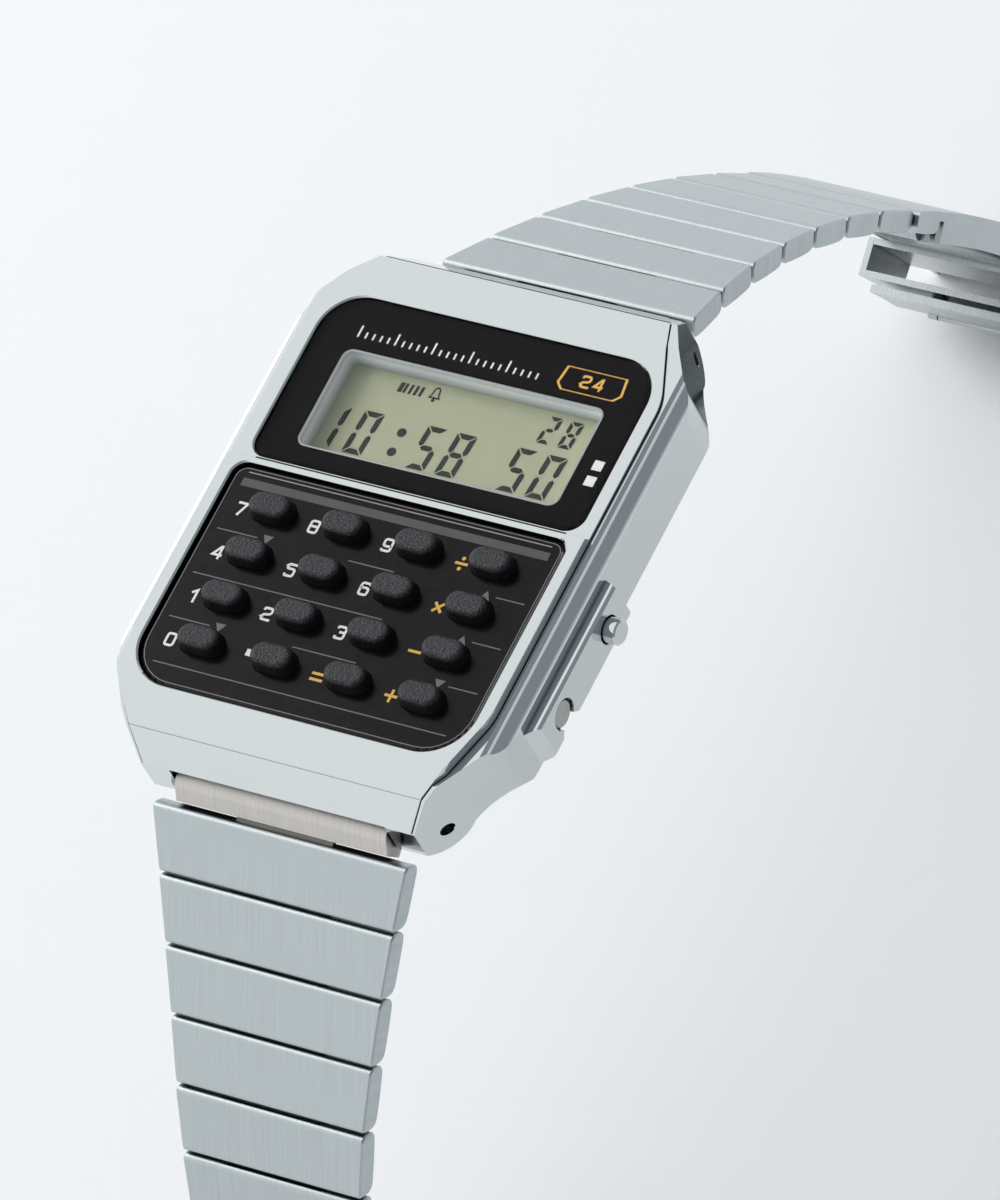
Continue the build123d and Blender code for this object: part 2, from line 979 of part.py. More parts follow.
def arc_point(distance, depth):
    """A place on the clasp: how far along its middle line, how far inside it."""
    angle = distance / clasp_radius
    radius = clasp_radius - depth
    return (radius * math.sin(angle), radius * math.cos(angle) - clasp_radius)


def arc_plate(start, end, outer_depth, inner_depth, half):
    """A plate bent to the clasp's curve."""
    middle = (start + end) / 2
    outer = ThreePointArc(
        arc_point(start, outer_depth), arc_point(middle, outer_depth), arc_point(end, outer_depth)
    )
    inner = ThreePointArc(
        arc_point(end, inner_depth), arc_point(middle, inner_depth), arc_point(start, inner_depth)
    )
    ends = [
        Line(arc_point(end, outer_depth), arc_point(end, inner_depth)),
        Line(arc_point(start, inner_depth), arc_point(start, outer_depth)),
    ]
    face = Plane.YZ * make_face(Curve() + [outer, ends[0], inner, ends[1]])
    return extrude(face, half, both=True)


cover_inner = cover_thickness - half_thickness
middle_top = cover_inner + blade_gap
middle_base = middle_top + blade_thickness
inner_top = middle_top + blade_step
inner_base = inner_top + blade_thickness
far_axis = clasp_length - blade_hinge_far
far_depth = (middle_top + middle_base) / 2
near_axis = blade_hinge_near
near_depth = (middle_top + inner_base) / 2


def clasp_pin(radius, half, distance, depth):
    y, z = arc_point(distance, depth)
    return cross_pin(radius, -half, half, y, z)


def make_clasp_cover():
    """The curved cover: a fold at the last link, side flanges and a pin across the far end."""
    top = -half_thickness
    cover = arc_plate(0, clasp_length, top, cover_inner, clasp_half_width)
    fold = folded_section(cover_fold_end)
    cover += extrude(fold, clasp_half_width, both=True)
    flange = arc_plate(flange_start, clasp_length, cover_inner - blade_gap, flange_depth, clasp_half_width)
    flange -= arc_plate(
        flange_start - overrun,
        clasp_length + overrun,
        cover_inner - 2 * blade_gap,
        flange_depth + overrun,
        clasp_half_width - clasp_wall,
    )
    cover += flange
    cover += arc_plate(
        clasp_length - cover_lip / 2, clasp_length + cover_lip / 2, top, middle_top, clasp_half_width
    )
    cover -= hinge_pocket()
    hinge = hinge_pin()
    far = clasp_pin(pin_radius, clasp_half_width, far_axis, far_depth)
    cover -= hinge
    cover -= far
    return Compound(children=[cover, hinge, far])


def hinge_room(half_low, half_high, distance, depth):
    """Room round a knuckle, from one distance off the middle to another, on both sides."""
    y, z = arc_point(distance, depth)
    return both_sides(cross_pin(hinge_relief, half_low, half_high, y, z))


def make_middle_blade():
    """The blade under the cover, hinged to its far end and to the inner blade at the near end."""
    blade = arc_plate(near_axis, far_axis, middle_top, middle_base, blade_half_width)
    blade -= hinge_room(hinge_half_width, blade_half_width + overrun, near_axis, near_depth)
    blade += clasp_pin(hinge_knuckle_radius, blade_half_width, far_axis, far_depth)
    blade += clasp_pin(near_knuckle_radius, hinge_half_width, near_axis, near_depth)
    blade -= clasp_pin(pin_radius + pin_fit, clasp_half_width, far_axis, far_depth)
    return blade - clasp_pin(pin_radius + pin_fit, clasp_half_width, near_axis, near_depth)


def make_inner_blade():
    """The blade next to the wrist, which carries the lock."""
    blade = arc_plate(near_axis, lock_end, inner_top, inner_base, blade_half_width)
    centre = hinge_half_width + hinge_side_fit
    blade -= clasp_pin(hinge_relief, centre, near_axis, near_depth)
    y, z = arc_point(near_axis, near_depth)
    blade += both_sides(cross_pin(near_knuckle_radius, centre, near_knuckle_half_width, y, z))
    pin = clasp_pin(pin_radius, near_knuckle_half_width, near_axis, near_depth)
    blade -= pin
    return Compound(children=[blade, pin])


def flap_axis():
    return lock_end - flap_axis_inset, inner_base + 2 * lock_wall + lock_channel + flap_axis_drop


def make_slide_lock():
    """The sleeve that slides over the other strand's last links, with ears for the flap."""
    outer = lock_channel_half_width + lock_side
    top = inner_base
    low = top + 2 * lock_wall + lock_channel
    sleeve = arc_plate(lock_start, lock_end, top, low, outer)
    sleeve -= arc_plate(
        lock_start - overrun, lock_end + overrun, top + lock_wall, low - lock_wall,
        lock_channel_half_width,
    )
    distance, depth = flap_axis()
    y, z = arc_point(distance, depth)
    start, end = ear_half_gap, ear_half_gap + ear_thickness
    ears = both_sides(cross_pin(hinge_knuckle_radius, start, end, y, z))
    foot = arc_plate(
        distance - hinge_knuckle_radius, distance + hinge_knuckle_radius, low, depth, end
    )
    foot -= arc_plate(
        distance - overrun, distance + overrun, low - overrun, depth + overrun, start
    )
    sleeve += ears + foot
    pin = clasp_pin(pin_radius, end, distance, depth)
    sleeve -= pin
    return Compound(children=[sleeve, pin])


def make_lock_flap():
    """The flap that is lifted to free the sleeve, hinged between the sleeve's ears."""
    distance, depth = flap_axis()
    half = flap_thickness / 2
    clear = ear_half_gap - hinge_side_fit
    flap = arc_plate(
        distance - flap_length, distance - hinge_knuckle_radius - flap_gap, depth - half,
        depth + half, flap_half_width,
    )
    flap += arc_plate(distance - flap_length, distance, depth - half, depth + half, clear)
    flap += clasp_pin(hinge_knuckle_radius, clear, distance, depth)
    return flap - clasp_pin(pin_radius + pin_fit, clear + overrun, distance, depth)


def write(shape, name):
    export_step(shape, f"parts/{name}.step")


def write_case():
    write(make_case_body(), "case_body")
    write(make_front_frame(), "front_frame")
    write(make_display_window(), "display_window")
    write(make_display_bezel(), "display_bezel")
    write(make_lcd_panel(), "lcd_panel")
    write(make_keypad_plate(), "keypad_plate")
    write(make_key_membrane(), "key_membrane")
    write(make_module_frame(), "module_frame")
    write(make_circuit_board(), "circuit_board")
    write(make_contact_strips(), "contact_strips")
    write(make_coin_cell(), "coin_cell")
    write(make_cell_clip(), "cell_clip")
    write(make_case_gasket(), "case_gasket")
    write(make_case_back(), "case_back")
    write(make_case_screws(), "case_screws")
    write(make_spring_bars(), "spring_bars")
    write(make_mode_button(), "mode_button")
    write(make_adjust_button(), "adjust_button")


def write_keys():
    names = [
        "7", "8", "9", "divide", "4", "5", "6", "times",
        "1", "2", "3", "minus", "0", "point", "equals", "plus",
    ]
    for name, (x, y) in zip(names, key_places()):
        write(make_key(x, y), f"key_{name}")


def write_strand(side, label):
    points = pivots(side)
    tilt = end_slope_12 if side > 0 else end_slope_6
    write(place(make_end_link(), side, points[0], tilt), f"end_link_{label}")
    turned = slopes(side)
    for i, slope in enumerate(turned):
        last = side < 0 and i == len(turned) - 1
        link = make_link(half_width(i), half_width(i + 1), last)
        write(place(link, side, points[i + 1], slope), f"link_{label}_{i + 1:02d}")


def write_clasp():
    hinge = pivots(1)[-1]
    pieces = {
        "clasp_cover": make_clasp_cover(),
        "clasp_middle_blade": make_middle_blade(),
        "clasp_inner_blade": make_inner_blade(),
        "slide_lock": make_slide_lock(),
        "lock_flap": make_lock_flap(),
    }
    for name, piece in pieces.items():
        write(place(piece, 1, hinge, clasp_slope), name)


def main():
    os.makedirs("parts", exist_ok=True)
    write_case()
    write_keys()
    write_strand(1, "12")
    write_strand(-1, "6")
    write_clasp()


main()
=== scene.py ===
import bmesh
import bpy
import math
from mathutils import Euler, Matrix, Vector


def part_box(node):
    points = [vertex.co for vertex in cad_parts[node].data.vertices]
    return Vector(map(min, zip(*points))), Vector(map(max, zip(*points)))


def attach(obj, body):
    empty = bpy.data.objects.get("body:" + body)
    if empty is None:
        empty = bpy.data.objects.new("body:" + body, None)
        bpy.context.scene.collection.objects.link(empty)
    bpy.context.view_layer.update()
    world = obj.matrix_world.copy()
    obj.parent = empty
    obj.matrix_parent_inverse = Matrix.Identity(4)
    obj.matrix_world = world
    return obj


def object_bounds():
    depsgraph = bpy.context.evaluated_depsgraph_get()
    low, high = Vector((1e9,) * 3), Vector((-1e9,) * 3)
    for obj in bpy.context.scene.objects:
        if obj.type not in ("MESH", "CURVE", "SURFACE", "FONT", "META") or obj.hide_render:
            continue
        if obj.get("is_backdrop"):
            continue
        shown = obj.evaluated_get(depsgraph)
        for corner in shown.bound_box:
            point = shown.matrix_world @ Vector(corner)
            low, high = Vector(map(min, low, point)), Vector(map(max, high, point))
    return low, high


bl_info = {
    "name": "Calculator watch finish",
    "version": (1, 0, 0),
    "blender": (4, 5, 0),
    "location": "3D View > Sidebar > Watch",
    "description": "Steel, print, display and keys for a calculator watch on a folded-link bracelet",
    "category": "Object",
}

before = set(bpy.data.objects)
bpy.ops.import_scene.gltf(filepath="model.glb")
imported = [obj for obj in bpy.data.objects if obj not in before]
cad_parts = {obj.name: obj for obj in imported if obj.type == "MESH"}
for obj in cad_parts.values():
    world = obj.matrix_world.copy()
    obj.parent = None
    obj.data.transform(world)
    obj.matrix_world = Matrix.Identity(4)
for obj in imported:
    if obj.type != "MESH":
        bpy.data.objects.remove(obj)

# Sizes are metres, written as millimetres times MM.
# +Z leaves the dial, +X is 3 o'clock, +Y is 12 o'clock.
MM = 0.001
WINDOW_LOW, WINDOW_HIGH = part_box("display_window")
PLATE_LOW, PLATE_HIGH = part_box("keypad_plate")
BEZEL_LOW, BEZEL_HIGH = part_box("display_bezel")
PANEL_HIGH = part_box("lcd_panel")[1]

# Print and liquid crystal are far thinner than this, which keeps their faces apart in the render.
FILM = 0.012 * MM

KEY_BLACK = "#1E1E20"
# The bezel's painted light: its shaded foot, tones between as (share of its height, sRGB hex), and its
# highlit lip.
BEZEL_FOOT_SHADE = "#9BA198"
BEZEL_LIGHT_TONES = [(0.3, "#CCD3D6"), (0.6, "#F2F5F7"), (0.8, "#D6DDE2"), (0.9, "#FFFFFF")]
BEZEL_LIP_HIGHLIGHT = "#FFFFFF"


# Settings that a user would change

class WatchSteel(bpy.types.PropertyGroup):
    polished: bpy.props.StringProperty(
        name="Polished steel", description="Colour of the case and frame, sRGB hex", default="#D6DAD9"
    )
    brushed: bpy.props.StringProperty(
        name="Brushed steel", description="Colour of the bracelet links, sRGB hex", default="#C0C7C8"
    )
    polish: bpy.props.FloatProperty(
        name="Polish", description="Roughness of the polished steel", default=0.05, min=0.0, max=1.0
    )
    grain_width: bpy.props.FloatProperty(
        name="Grain width", description="Width of one brush stroke", default=0.07 * MM, unit="LENGTH"
    )
    grain_length: bpy.props.FloatProperty(
        name="Grain length", description="Length of one brush stroke", default=6.0 * MM, unit="LENGTH"
    )
    # The two reaches set how far the painted shade spreads from the case's grooves and from the gaps
    # between the links.
    groove_reach: bpy.props.FloatProperty(
        name="Groove reach", description="How far from a groove the case darkens",
        default=0.8 * MM, unit="LENGTH",
    )
    gap_shade_reach: bpy.props.FloatProperty(
        name="Gap shade reach", description="How far from a gap the links darken",
        default=0.7 * MM, unit="LENGTH",
    )


class WatchPrint(bpy.types.PropertyGroup):
    black: bpy.props.StringProperty(
        name="Black", description="Colour of the print round the display and keys", default="#0F0D0E"
    )
    pale: bpy.props.StringProperty(name="Pale", description="Colour of the digits", default="#F0F0EE")
    amber: bpy.props.StringProperty(name="Amber", description="Colour of the signs", default="#F2B84E")
    dim: bpy.props.StringProperty(name="Dim", description="Colour of the fine lines", default="#6C6B6D")
    label_height: bpy.props.FloatProperty(
        name="Label height", description="Height of a key's printed digit",
        default=1.12 * MM, unit="LENGTH",
    )
    line_width: bpy.props.FloatProperty(
        name="Line width", description="Width of the lines between the key rows",
        default=0.09 * MM, unit="LENGTH",
    )


class WatchDisplay(bpy.types.PropertyGroup):
    polariser: bpy.props.StringProperty(
        name="Polariser", description="Colour of the resting display", default="#A4A78C"
    )
    segment: bpy.props.StringProperty(
        name="Segment", description="Colour of a lit segment", default="#2C2E2C"
    )
    digit_height: bpy.props.FloatProperty(
        name="Digit height", description="Height of the time digits", default=3.6 * MM, unit="LENGTH"
    )
    digit_width: bpy.props.FloatProperty(
        name="Digit width", description="Width of the time digits", default=1.62 * MM, unit="LENGTH"
    )
    stroke: bpy.props.FloatProperty(
        name="Stroke", description="Width of a segment", default=0.42 * MM, unit="LENGTH"
    )


class WatchStage(bpy.types.PropertyGroup):
    floor: bpy.props.StringProperty(name="Floor", description="Colour of the floor", default="#FFFFFF")
    focal_length: bpy.props.FloatProperty(
        name="Focal length", description="Lens of the photograph's camera, in millimetres",
        default=357.6,
    )
    softbox_power: bpy.props.FloatProperty(
        name="Softbox power", description="Power of the lamp on the left in watts", default=3.0
    )


# Colours and nodes

def linear(colour):
    """An sRGB hex colour as linear light with full alpha."""
    channels = [int(colour[i:i + 2], 16) / 255 for i in (1, 3, 5)]
    return [c / 12.92 if c <= 0.04045 else ((c + 0.055) / 1.055) ** 2.4 for c in channels] + [1.0]


def add_node(owner, kind, links=(), **settings):
    """A material's or world's node, set by socket name and linked from (socket, source node, output)."""
    node = owner.node_tree.nodes.new(kind)
    for key, value in settings.items():
        if key in node.inputs:
            node.inputs[key].default_value = value
        else:
            setattr(node, key, value)
    for socket, source, output in links:
        owner.node_tree.links.new(source.outputs[output], node.inputs[socket])
    return node


def shader_of(material):
    return material.node_tree.nodes["Principled BSDF"]


def new_material(name, colour, **sockets):
    """A material whose Principled shader has these constant sockets."""
    material = bpy.data.materials.new(name)
    material.use_nodes = True
    shader = shader_of(material)
    shader.inputs["Base Color"].default_value = linear(colour)
    for key, value in sockets.items():
        shader.inputs[key.replace("_", " ")].default_value = value
    return material


def link(material, source, output, socket):
    """Links an output to a socket of the Principled shader."""
    material.node_tree.links.new(source.outputs[output], shader_of(material).inputs[socket])


def rough_between(material, pattern, low, high):
    """Lets a pattern set the roughness."""
    rough = add_node(
        material, "ShaderNodeMapRange", [("Value", pattern, "Fac")], **{"To Min": low, "To Max": high}
    )
    link(material, rough, "Result", "Roughness")


def shaded_colour(material, colour, source, output):
    """Gives the base colour, made darker or lighter by a value."""
    shade = add_node(material, "ShaderNodeVectorMath", [("Scale", source, output)], operation="SCALE")
    shade.inputs[0].default_value = linear(colour)[:3]
    link(material, shade, "Vector", "Base Color")


def painted_gap_shade(material, reach, start, end, darkest):
    """Painted shade: falls from 1 in the open to the darkest value where surfaces close in on each
    other.
    """
    corners = add_node(material, "ShaderNodeAmbientOcclusion", samples=8, Distance=reach)
    return add_node(
        material, "ShaderNodeMapRange", [("Value", corners, "AO")],
        **{"From Min": start, "From Max": end, "To Min": darkest, "To Max": 1.0}
    )


# Materials

def polished_steel():
    """Stainless steel, machine polished: nearly a mirror, with a faint haze over its highlights."""
    steel = bpy.context.scene.watch_steel
    material = new_material("polished_stainless_steel", steel.polished, Metallic=1.0)
    place = add_node(material, "ShaderNodeTexCoord")
    haze = add_node(
        material, "ShaderNodeTexNoise", [("Vector", place, "Object")], Scale=1 / (2.5 * MM), Detail=3.0
    )
    rough_between(material, haze, steel.polish * 0.75, steel.polish * 1.35)
    # Painted shade darkens the steel in the grooves and round the buttons.
    gap_shade = painted_gap_shade(material, steel.groove_reach, start=0.3, end=0.7, darkest=0.04)
    shaded_colour(material, steel.polished, gap_shade, "Result")
    return material


def brushed_steel(name, colour, low=0.26, high=0.42, reach=1.0, open_at=0.75):
    """Stainless steel drawn over an abrasive belt: its fine strokes smear each highlight."""
    steel = bpy.context.scene.watch_steel
    material = new_material(name, colour, Metallic=1.0)
    place = add_node(material, "ShaderNodeTexCoord")
    grain = (1 / steel.grain_width, 1 / steel.grain_length, 1 / steel.grain_length)
    stretch = add_node(material, "ShaderNodeMapping", [("Vector", place, "Object")], Scale=grain)
    strokes = add_node(
        material, "ShaderNodeTexNoise", [("Vector", stretch, "Vector")],
        Scale=1.0, Detail=4.0, Roughness=0.6
    )
    rough_between(material, strokes, low, high)
    tone = add_node(
        material, "ShaderNodeMapRange", [("Value", strokes, "Fac")], **{"To Min": 0.74, "To Max": 1.16}
    )
    # Painted shade darkens the steel in the gaps between the links.
    gap_shade = painted_gap_shade(
        material, steel.gap_shade_reach * reach, start=open_at / 5, end=open_at, darkest=0.03
    )
    both = add_node(
        material, "ShaderNodeMath", [(0, tone, "Result"), (1, gap_shade, "Result")], operation="MULTIPLY"
    )
    shaded_colour(material, colour, both, "Value")
    bump = add_node(
        material, "ShaderNodeBump", [("Height", strokes, "Fac")], Strength=0.22, Distance=0.01 * MM
    )
    link(material, bump, "Normal", "Normal")
    return material


def clear_glass():
    """Coated mineral glass: its low index stands for the coating, which leaves a faint reflection."""
    material = new_material(
        "mineral_glass", "#FFFFFF", Roughness=0.0, IOR=1.18, Transmission_Weight=1.0
    )
    tree = material.node_tree
    shader = shader_of(material)
    output = tree.nodes["Material Output"]
    path = add_node(material, "ShaderNodeLightPath")
    clear = add_node(material, "ShaderNodeBsdfTransparent")
    both = add_node(material, "ShaderNodeMixShader", [("Fac", path, "Is Shadow Ray")])
    tree.links.new(shader.outputs[0], both.inputs[1])
    tree.links.new(clear.outputs[0], both.inputs[2])
    tree.links.new(both.outputs[0], output.inputs["Surface"])
    return material


def lacquer_black():
    """Black ink behind clear acrylic: deep and even, with the sheet's gloss and faint dust marks."""
    material = new_material(
        "black_backed_acrylic", bpy.context.scene.watch_print.black, IOR=1.49, Specular_IOR_Level=0.15
    )
    place = add_node(material, "ShaderNodeTexCoord")
    marks = add_node(
        material, "ShaderNodeTexNoise", [("Vector", place, "Object")], Scale=1 / (0.8 * MM), Detail=5.0
    )
    rough_between(material, marks, 0.12, 0.3)
    return material


def ink(name, colour):
    """Screen printing ink: flat and slightly uneven where the mesh let less through."""
    material = new_material(name, colour, Roughness=0.55)
    place = add_node(material, "ShaderNodeTexCoord")
    screen = add_node(
        material, "ShaderNodeTexNoise", [("Vector", place, "Object")], Scale=1 / (0.12 * MM), Detail=2.0
    )
    tone = add_node(
        material, "ShaderNodeMapRange", [("Value", screen, "Fac")], **{"To Min": 0.82, "To Max": 1.1}
    )
    shaded_colour(material, colour, tone, "Result")
    return material


def key_rubber():
    """Hard rubber moulded in a spark-eroded tool: a pebbled grain, with painted glints as pale specks in
    its colour.
    """
    material = new_material("grained_key_rubber", KEY_BLACK, IOR=1.52, Specular_IOR_Level=0.35)
    place = add_node(material, "ShaderNodeTexCoord")
    # The real grain is about 0.1 mm; it is drawn at 0.2 mm so that it shows in the render.
    pebbles = add_node(
        material, "ShaderNodeTexVoronoi", [("Vector", place, "Object")],
        Scale=1 / (0.2 * MM), Randomness=1.0
    )
    fine = add_node(
        material, "ShaderNodeTexNoise", [("Vector", place, "Object")], Scale=1 / (0.09 * MM), Detail=3.0
    )
    height = add_node(
        material, "ShaderNodeMath", [(0, pebbles, "Distance"), (1, fine, "Fac")], operation="ADD"
    )
    bump = add_node(
        material, "ShaderNodeBump", [("Height", height, "Value")], Strength=0.9, Distance=0.05 * MM
    )
    link(material, bump, "Normal", "Normal")
    rough_between(material, fine, 0.4, 0.7)
    # Painted glints: pale specks raise the colour where the grain would catch light.
    glint_specks = add_node(
        material, "ShaderNodeTexNoise", [("Vector", place, "Object")], Scale=1 / (0.13 * MM), Detail=1.0
    )
    tone = add_node(
        material, "ShaderNodeMapRange", [("Value", glint_specks, "Fac")],
        **{"From Min": 0.42, "From Max": 0.68, "To Min": 0.75, "To Max": 4.5}
    )
    facing = add_node(material, "ShaderNodeSeparateXYZ", [("Vector", place, "Normal")])
    # Painted light and shade: faces turned up are drawn lighter grey and the flanks near black, by which
    # way each face points.
    lit_crown = add_node(
        material, "ShaderNodeMapRange", [("Value", facing, "Z")],
        **{"From Min": 0.3, "From Max": 0.95, "To Min": 0.12, "To Max": 1.0}
    )
    both = add_node(
        material, "ShaderNodeMath", [(0, tone, "Result"), (1, lit_crown, "Result")], operation="MULTIPLY"
    )
    shaded_colour(material, KEY_BLACK, both, "Value")
    return material


def plain_finish(name, colour, grain, low, high, **sockets):
    """A moulded, plated or pressed finish whose roughness wanders over patches of the grain's size."""
    material = new_material(name, colour, **sockets)
    place = add_node(material, "ShaderNodeTexCoord")
    patches = add_node(
        material, "ShaderNodeTexNoise", [("Vector", place, "Object")], Scale=1 / grain, Detail=4.0
    )
    rough_between(material, patches, low, high)
    return material


def silvered_bezel():
    """Vacuum silvered plastic, with painted light: a painted highlight along its upper lip, painted
    shade at its foot.
    """
    material = new_material("vacuum_silvered_bezel", "#D8DDE0", Metallic=0.1)
    place = add_node(material, "ShaderNodeTexCoord")
    split = add_node(material, "ShaderNodeSeparateXYZ", [("Vector", place, "Object")])
    depth = add_node(
        material, "ShaderNodeMapRange", [("Value", split, "Z")],
        **{"From Min": BEZEL_LOW.z, "From Max": BEZEL_HIGH.z}
    )
    ramp = add_node(material, "ShaderNodeValToRGB", [("Fac", depth, "Result")])
    for position, colour in BEZEL_LIGHT_TONES:
        ramp.color_ramp.elements.new(position).color = linear(colour)
    ramp.color_ramp.elements[0].color = linear(BEZEL_FOOT_SHADE)
    ramp.color_ramp.elements[-1].color = linear(BEZEL_LIP_HIGHLIGHT)
    link(material, ramp, "Color", "Base Color")
    speckle = add_node(
        material, "ShaderNodeTexNoise", [("Vector", place, "Object")], Scale=1 / (0.7 * MM), Detail=4.0
    )
    rough_between(material, speckle, 0.22, 0.4)
    return material


def display_polariser():
    """Reflective polariser behind the display: a soft grey green with the film's faint mottling."""
    colour = bpy.context.scene.watch_display.polariser
    material = new_material(
        "reflective_polariser", colour, Roughness=0.6, IOR=1.5, Specular_IOR_Level=0.1
    )
    place = add_node(material, "ShaderNodeTexCoord")
    mottle = add_node(
        material, "ShaderNodeTexNoise", [("Vector", place, "Object")], Scale=1 / (1.6 * MM), Detail=3.0
    )
    tone = add_node(
        material, "ShaderNodeMapRange", [("Value", mottle, "Fac")], **{"To Min": 0.94, "To Max": 1.05}
    )
    shaded_colour(material, colour, tone, "Result")
    return material


# Pieces

# Steps of a disc, of a box's quarter round and of a stroke's rounded corner.
DISC_STEPS = 20
ARC_STEPS = 8
CORNER_STEPS = 4
# A stroke's corner is drawn out by no more than the inverse of this.
LEAST_COSINE = 0.4


def finish_node(name, material):
    """Gives a node of the model its material in every slot."""
    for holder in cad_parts[name].material_slots:
        holder.material = material


def lay_piece(name, mesh, body, material):
    """A new piece with its place in its mesh, riding on its body."""
    mesh.materials.append(material)
    piece = bpy.data.objects.new(name, mesh)
    bpy.context.scene.collection.objects.link(piece)
    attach(piece, body)


def to_mesh(bm, name):
    """The mesh of a finished bmesh, with its faces turned outwards."""
    mesh = bpy.data.meshes.new(name)
    bmesh.ops.recalc_face_normals(bm, faces=bm.faces)
    bm.to_mesh(mesh)
    bm.free()
    return mesh


def on_case(name, bm, material):
    """Lays a finished bmesh on the case as a piece."""
    lay_piece(name, to_mesh(bm, name), "case", material)


def thicken(bm, faces, thickness=FILM):
    """Raises flat faces into a sheet of this thickness."""
    risen = bmesh.ops.extrude_face_region(bm, geom=faces)
    top = [v for v in risen["geom"] if isinstance(v, bmesh.types.BMVert)]
    bmesh.ops.translate(bm, vec=(0, 0, thickness), verts=top)


def add_sheet(bm, points, height):
    """A flat shape through the points, in order anticlockwise, standing on the height."""
    thicken(bm, [bm.faces.new([bm.verts.new((x, y, height)) for x, y in points])])


def add_block(bm, low, high, height):
    """An upright rectangle of print between two corners."""
    corners = [(low[0], low[1]), (high[0], low[1]), (high[0], high[1]), (low[0], high[1])]
    add_sheet(bm, corners, height)


def add_disc(bm, centre, radius, height):
    """A round dot of print."""
    made = bmesh.ops.create_circle(
        bm, cap_ends=True, segments=DISC_STEPS, radius=radius,
        matrix=Matrix.Translation((*centre, height)),
    )
    thicken(bm, [made["verts"][0].link_faces[0]])


def rounded_path(points, radius, closed):
    """The points of a path with each corner turned in short steps."""
    out = []
    count = len(points)
    for i, point in enumerate(points):
        at = Vector(point)
        if not closed and i in (0, count - 1):
            out.append(at)
            continue
        before = Vector(points[i - 1]) - at
        after = Vector(points[(i + 1) % count]) - at
        cut = min(radius, before.length / 2, after.length / 2)
        start = at + before.normalized() * cut
        end = at + after.normalized() * cut
        for step in range(CORNER_STEPS + 1):
            t = step / CORNER_STEPS
            out.append((1 - t) ** 2 * start + 2 * t * (1 - t) * at + t ** 2 * end)
    return out


def add_stroke(bm, points, width, height, closed, radius, thickness):
    """A flat line of even width through the points."""
    path = rounded_path(points, radius, closed) if radius else [Vector(p) for p in points]
    count = len(path)
    sides = []
    for i, at in enumerate(path):
        before = (at - path[i - 1]).normalized() if closed or i else None
        after = (path[(i + 1) % count] - at).normalized() if closed or i < count - 1 else None
        along = ((before or after) + (after or before)).normalized()
        across = Vector((-along.y, along.x))
        out = across * width / 2 / max(along.dot(after or before), LEAST_COSINE)
        sides.append([bm.verts.new((*corner, height)) for corner in (at + out, at - out)])
    spans = range(count) if closed else range(count - 1)
    faces = []
    for i in spans:
        (a, b), (c, d) = sides[i], sides[(i + 1) % count]
        faces.append(bm.faces.new([a, b, d, c]))
    thicken(bm, faces, thickness)


# Squarish digits as strokes: (closed, points), on a box one unit high and DIGIT_WIDE wide.
DIGIT_WIDE = 0.76
DIGIT_STEP = 1.35 * DIGIT_WIDE
DIGIT_LINE = 0.17
DIGIT_ROUND = 0.17
# Where two strokes of a digit cross, the second is thicker by this share.
CROSSING_RISE = 0.3
LEFT = DIGIT_LINE / 2
RIGHT = DIGIT_WIDE - DIGIT_LINE / 2
FOOT = DIGIT_LINE / 2
HEAD = 1 - DIGIT_LINE / 2
WAIST = 0.53
STROKES = {
    "0": [(True, [(LEFT, FOOT), (RIGHT, FOOT), (RIGHT, HEAD), (LEFT, HEAD)])],
    "1": [(False, [(0.12, 0.68), (0.46, HEAD), (0.46, 0)])],
    "2": [(False, [(LEFT, 0.74), (LEFT, HEAD), (RIGHT, HEAD), (RIGHT, WAIST), (LEFT, 0.42),
                   (LEFT, FOOT), (DIGIT_WIDE, FOOT)])],
    "3": [(False, [(LEFT, 0.76), (LEFT, HEAD), (RIGHT, HEAD), (RIGHT, FOOT), (LEFT, FOOT),
                   (LEFT, 0.25)]),
          (False, [(0.26, WAIST), (RIGHT, WAIST)])],
    "4": [(False, [(0.56, 0), (0.56, 1)]), (False, [(0.52, 0.95), (LEFT, 0.3), (DIGIT_WIDE, 0.3)])],
    "5": [(False, [(DIGIT_WIDE, HEAD), (LEFT, HEAD), (LEFT, 0.6), (RIGHT, 0.6), (RIGHT, FOOT),
                   (LEFT, FOOT), (LEFT, 0.24)])],
    "6": [(False, [(RIGHT, 0.78), (RIGHT, HEAD), (LEFT, HEAD), (LEFT, FOOT), (RIGHT, FOOT),
                   (RIGHT, 0.58), (LEFT, 0.58)])],
    "7": [(False, [(0, HEAD), (RIGHT, HEAD), (0.26, 0)])],
    "8": [(True, [(LEFT, FOOT), (RIGHT, FOOT), (RIGHT, HEAD), (LEFT, HEAD)]),
          (False, [(LEFT, WAIST), (RIGHT, WAIST)])],
    "9": [(False, [(LEFT, 0.22), (LEFT, FOOT), (RIGHT, FOOT), (RIGHT, HEAD), (LEFT, HEAD),
                   (LEFT, 0.42), (RIGHT, 0.42)])],
}
# These digits have sharp corners.
SHARP = "147"


def printed_number(bm, number, x, y, size, height):
    """Squarish digits centred on a place."""
    for place, digit in enumerate(number):
        middle = x + (place - (len(number) - 1) / 2) * DIGIT_STEP * size
        left = middle - DIGIT_WIDE * size / 2
        radius = 0.0 if digit in SHARP else DIGIT_ROUND * size
        for order, (closed, points) in enumerate(STROKES[digit]):
            placed = [(left + px * size, y + (py - 0.5) * size) for px, py in points]
            thickness = FILM * (1 + CROSSING_RISE * order)
            add_stroke(bm, placed, DIGIT_LINE * size, height, closed, radius, thickness)


def cross_outline(x, y, reach, stroke, turn):
    """The twelve corners of a plus sign, turned about its middle."""
    middle = Vector((x, y))
    arm = [Vector((reach, -stroke)), Vector((reach, stroke)), Vector((stroke, stroke))]
    corners = []
    for quarter in range(4):
        spin = Matrix.Rotation(turn + quarter * math.pi / 2, 2)
        corners += [tuple(middle + spin @ corner) for corner in arm]
    return corners


# Bracelet, case and hidden pieces

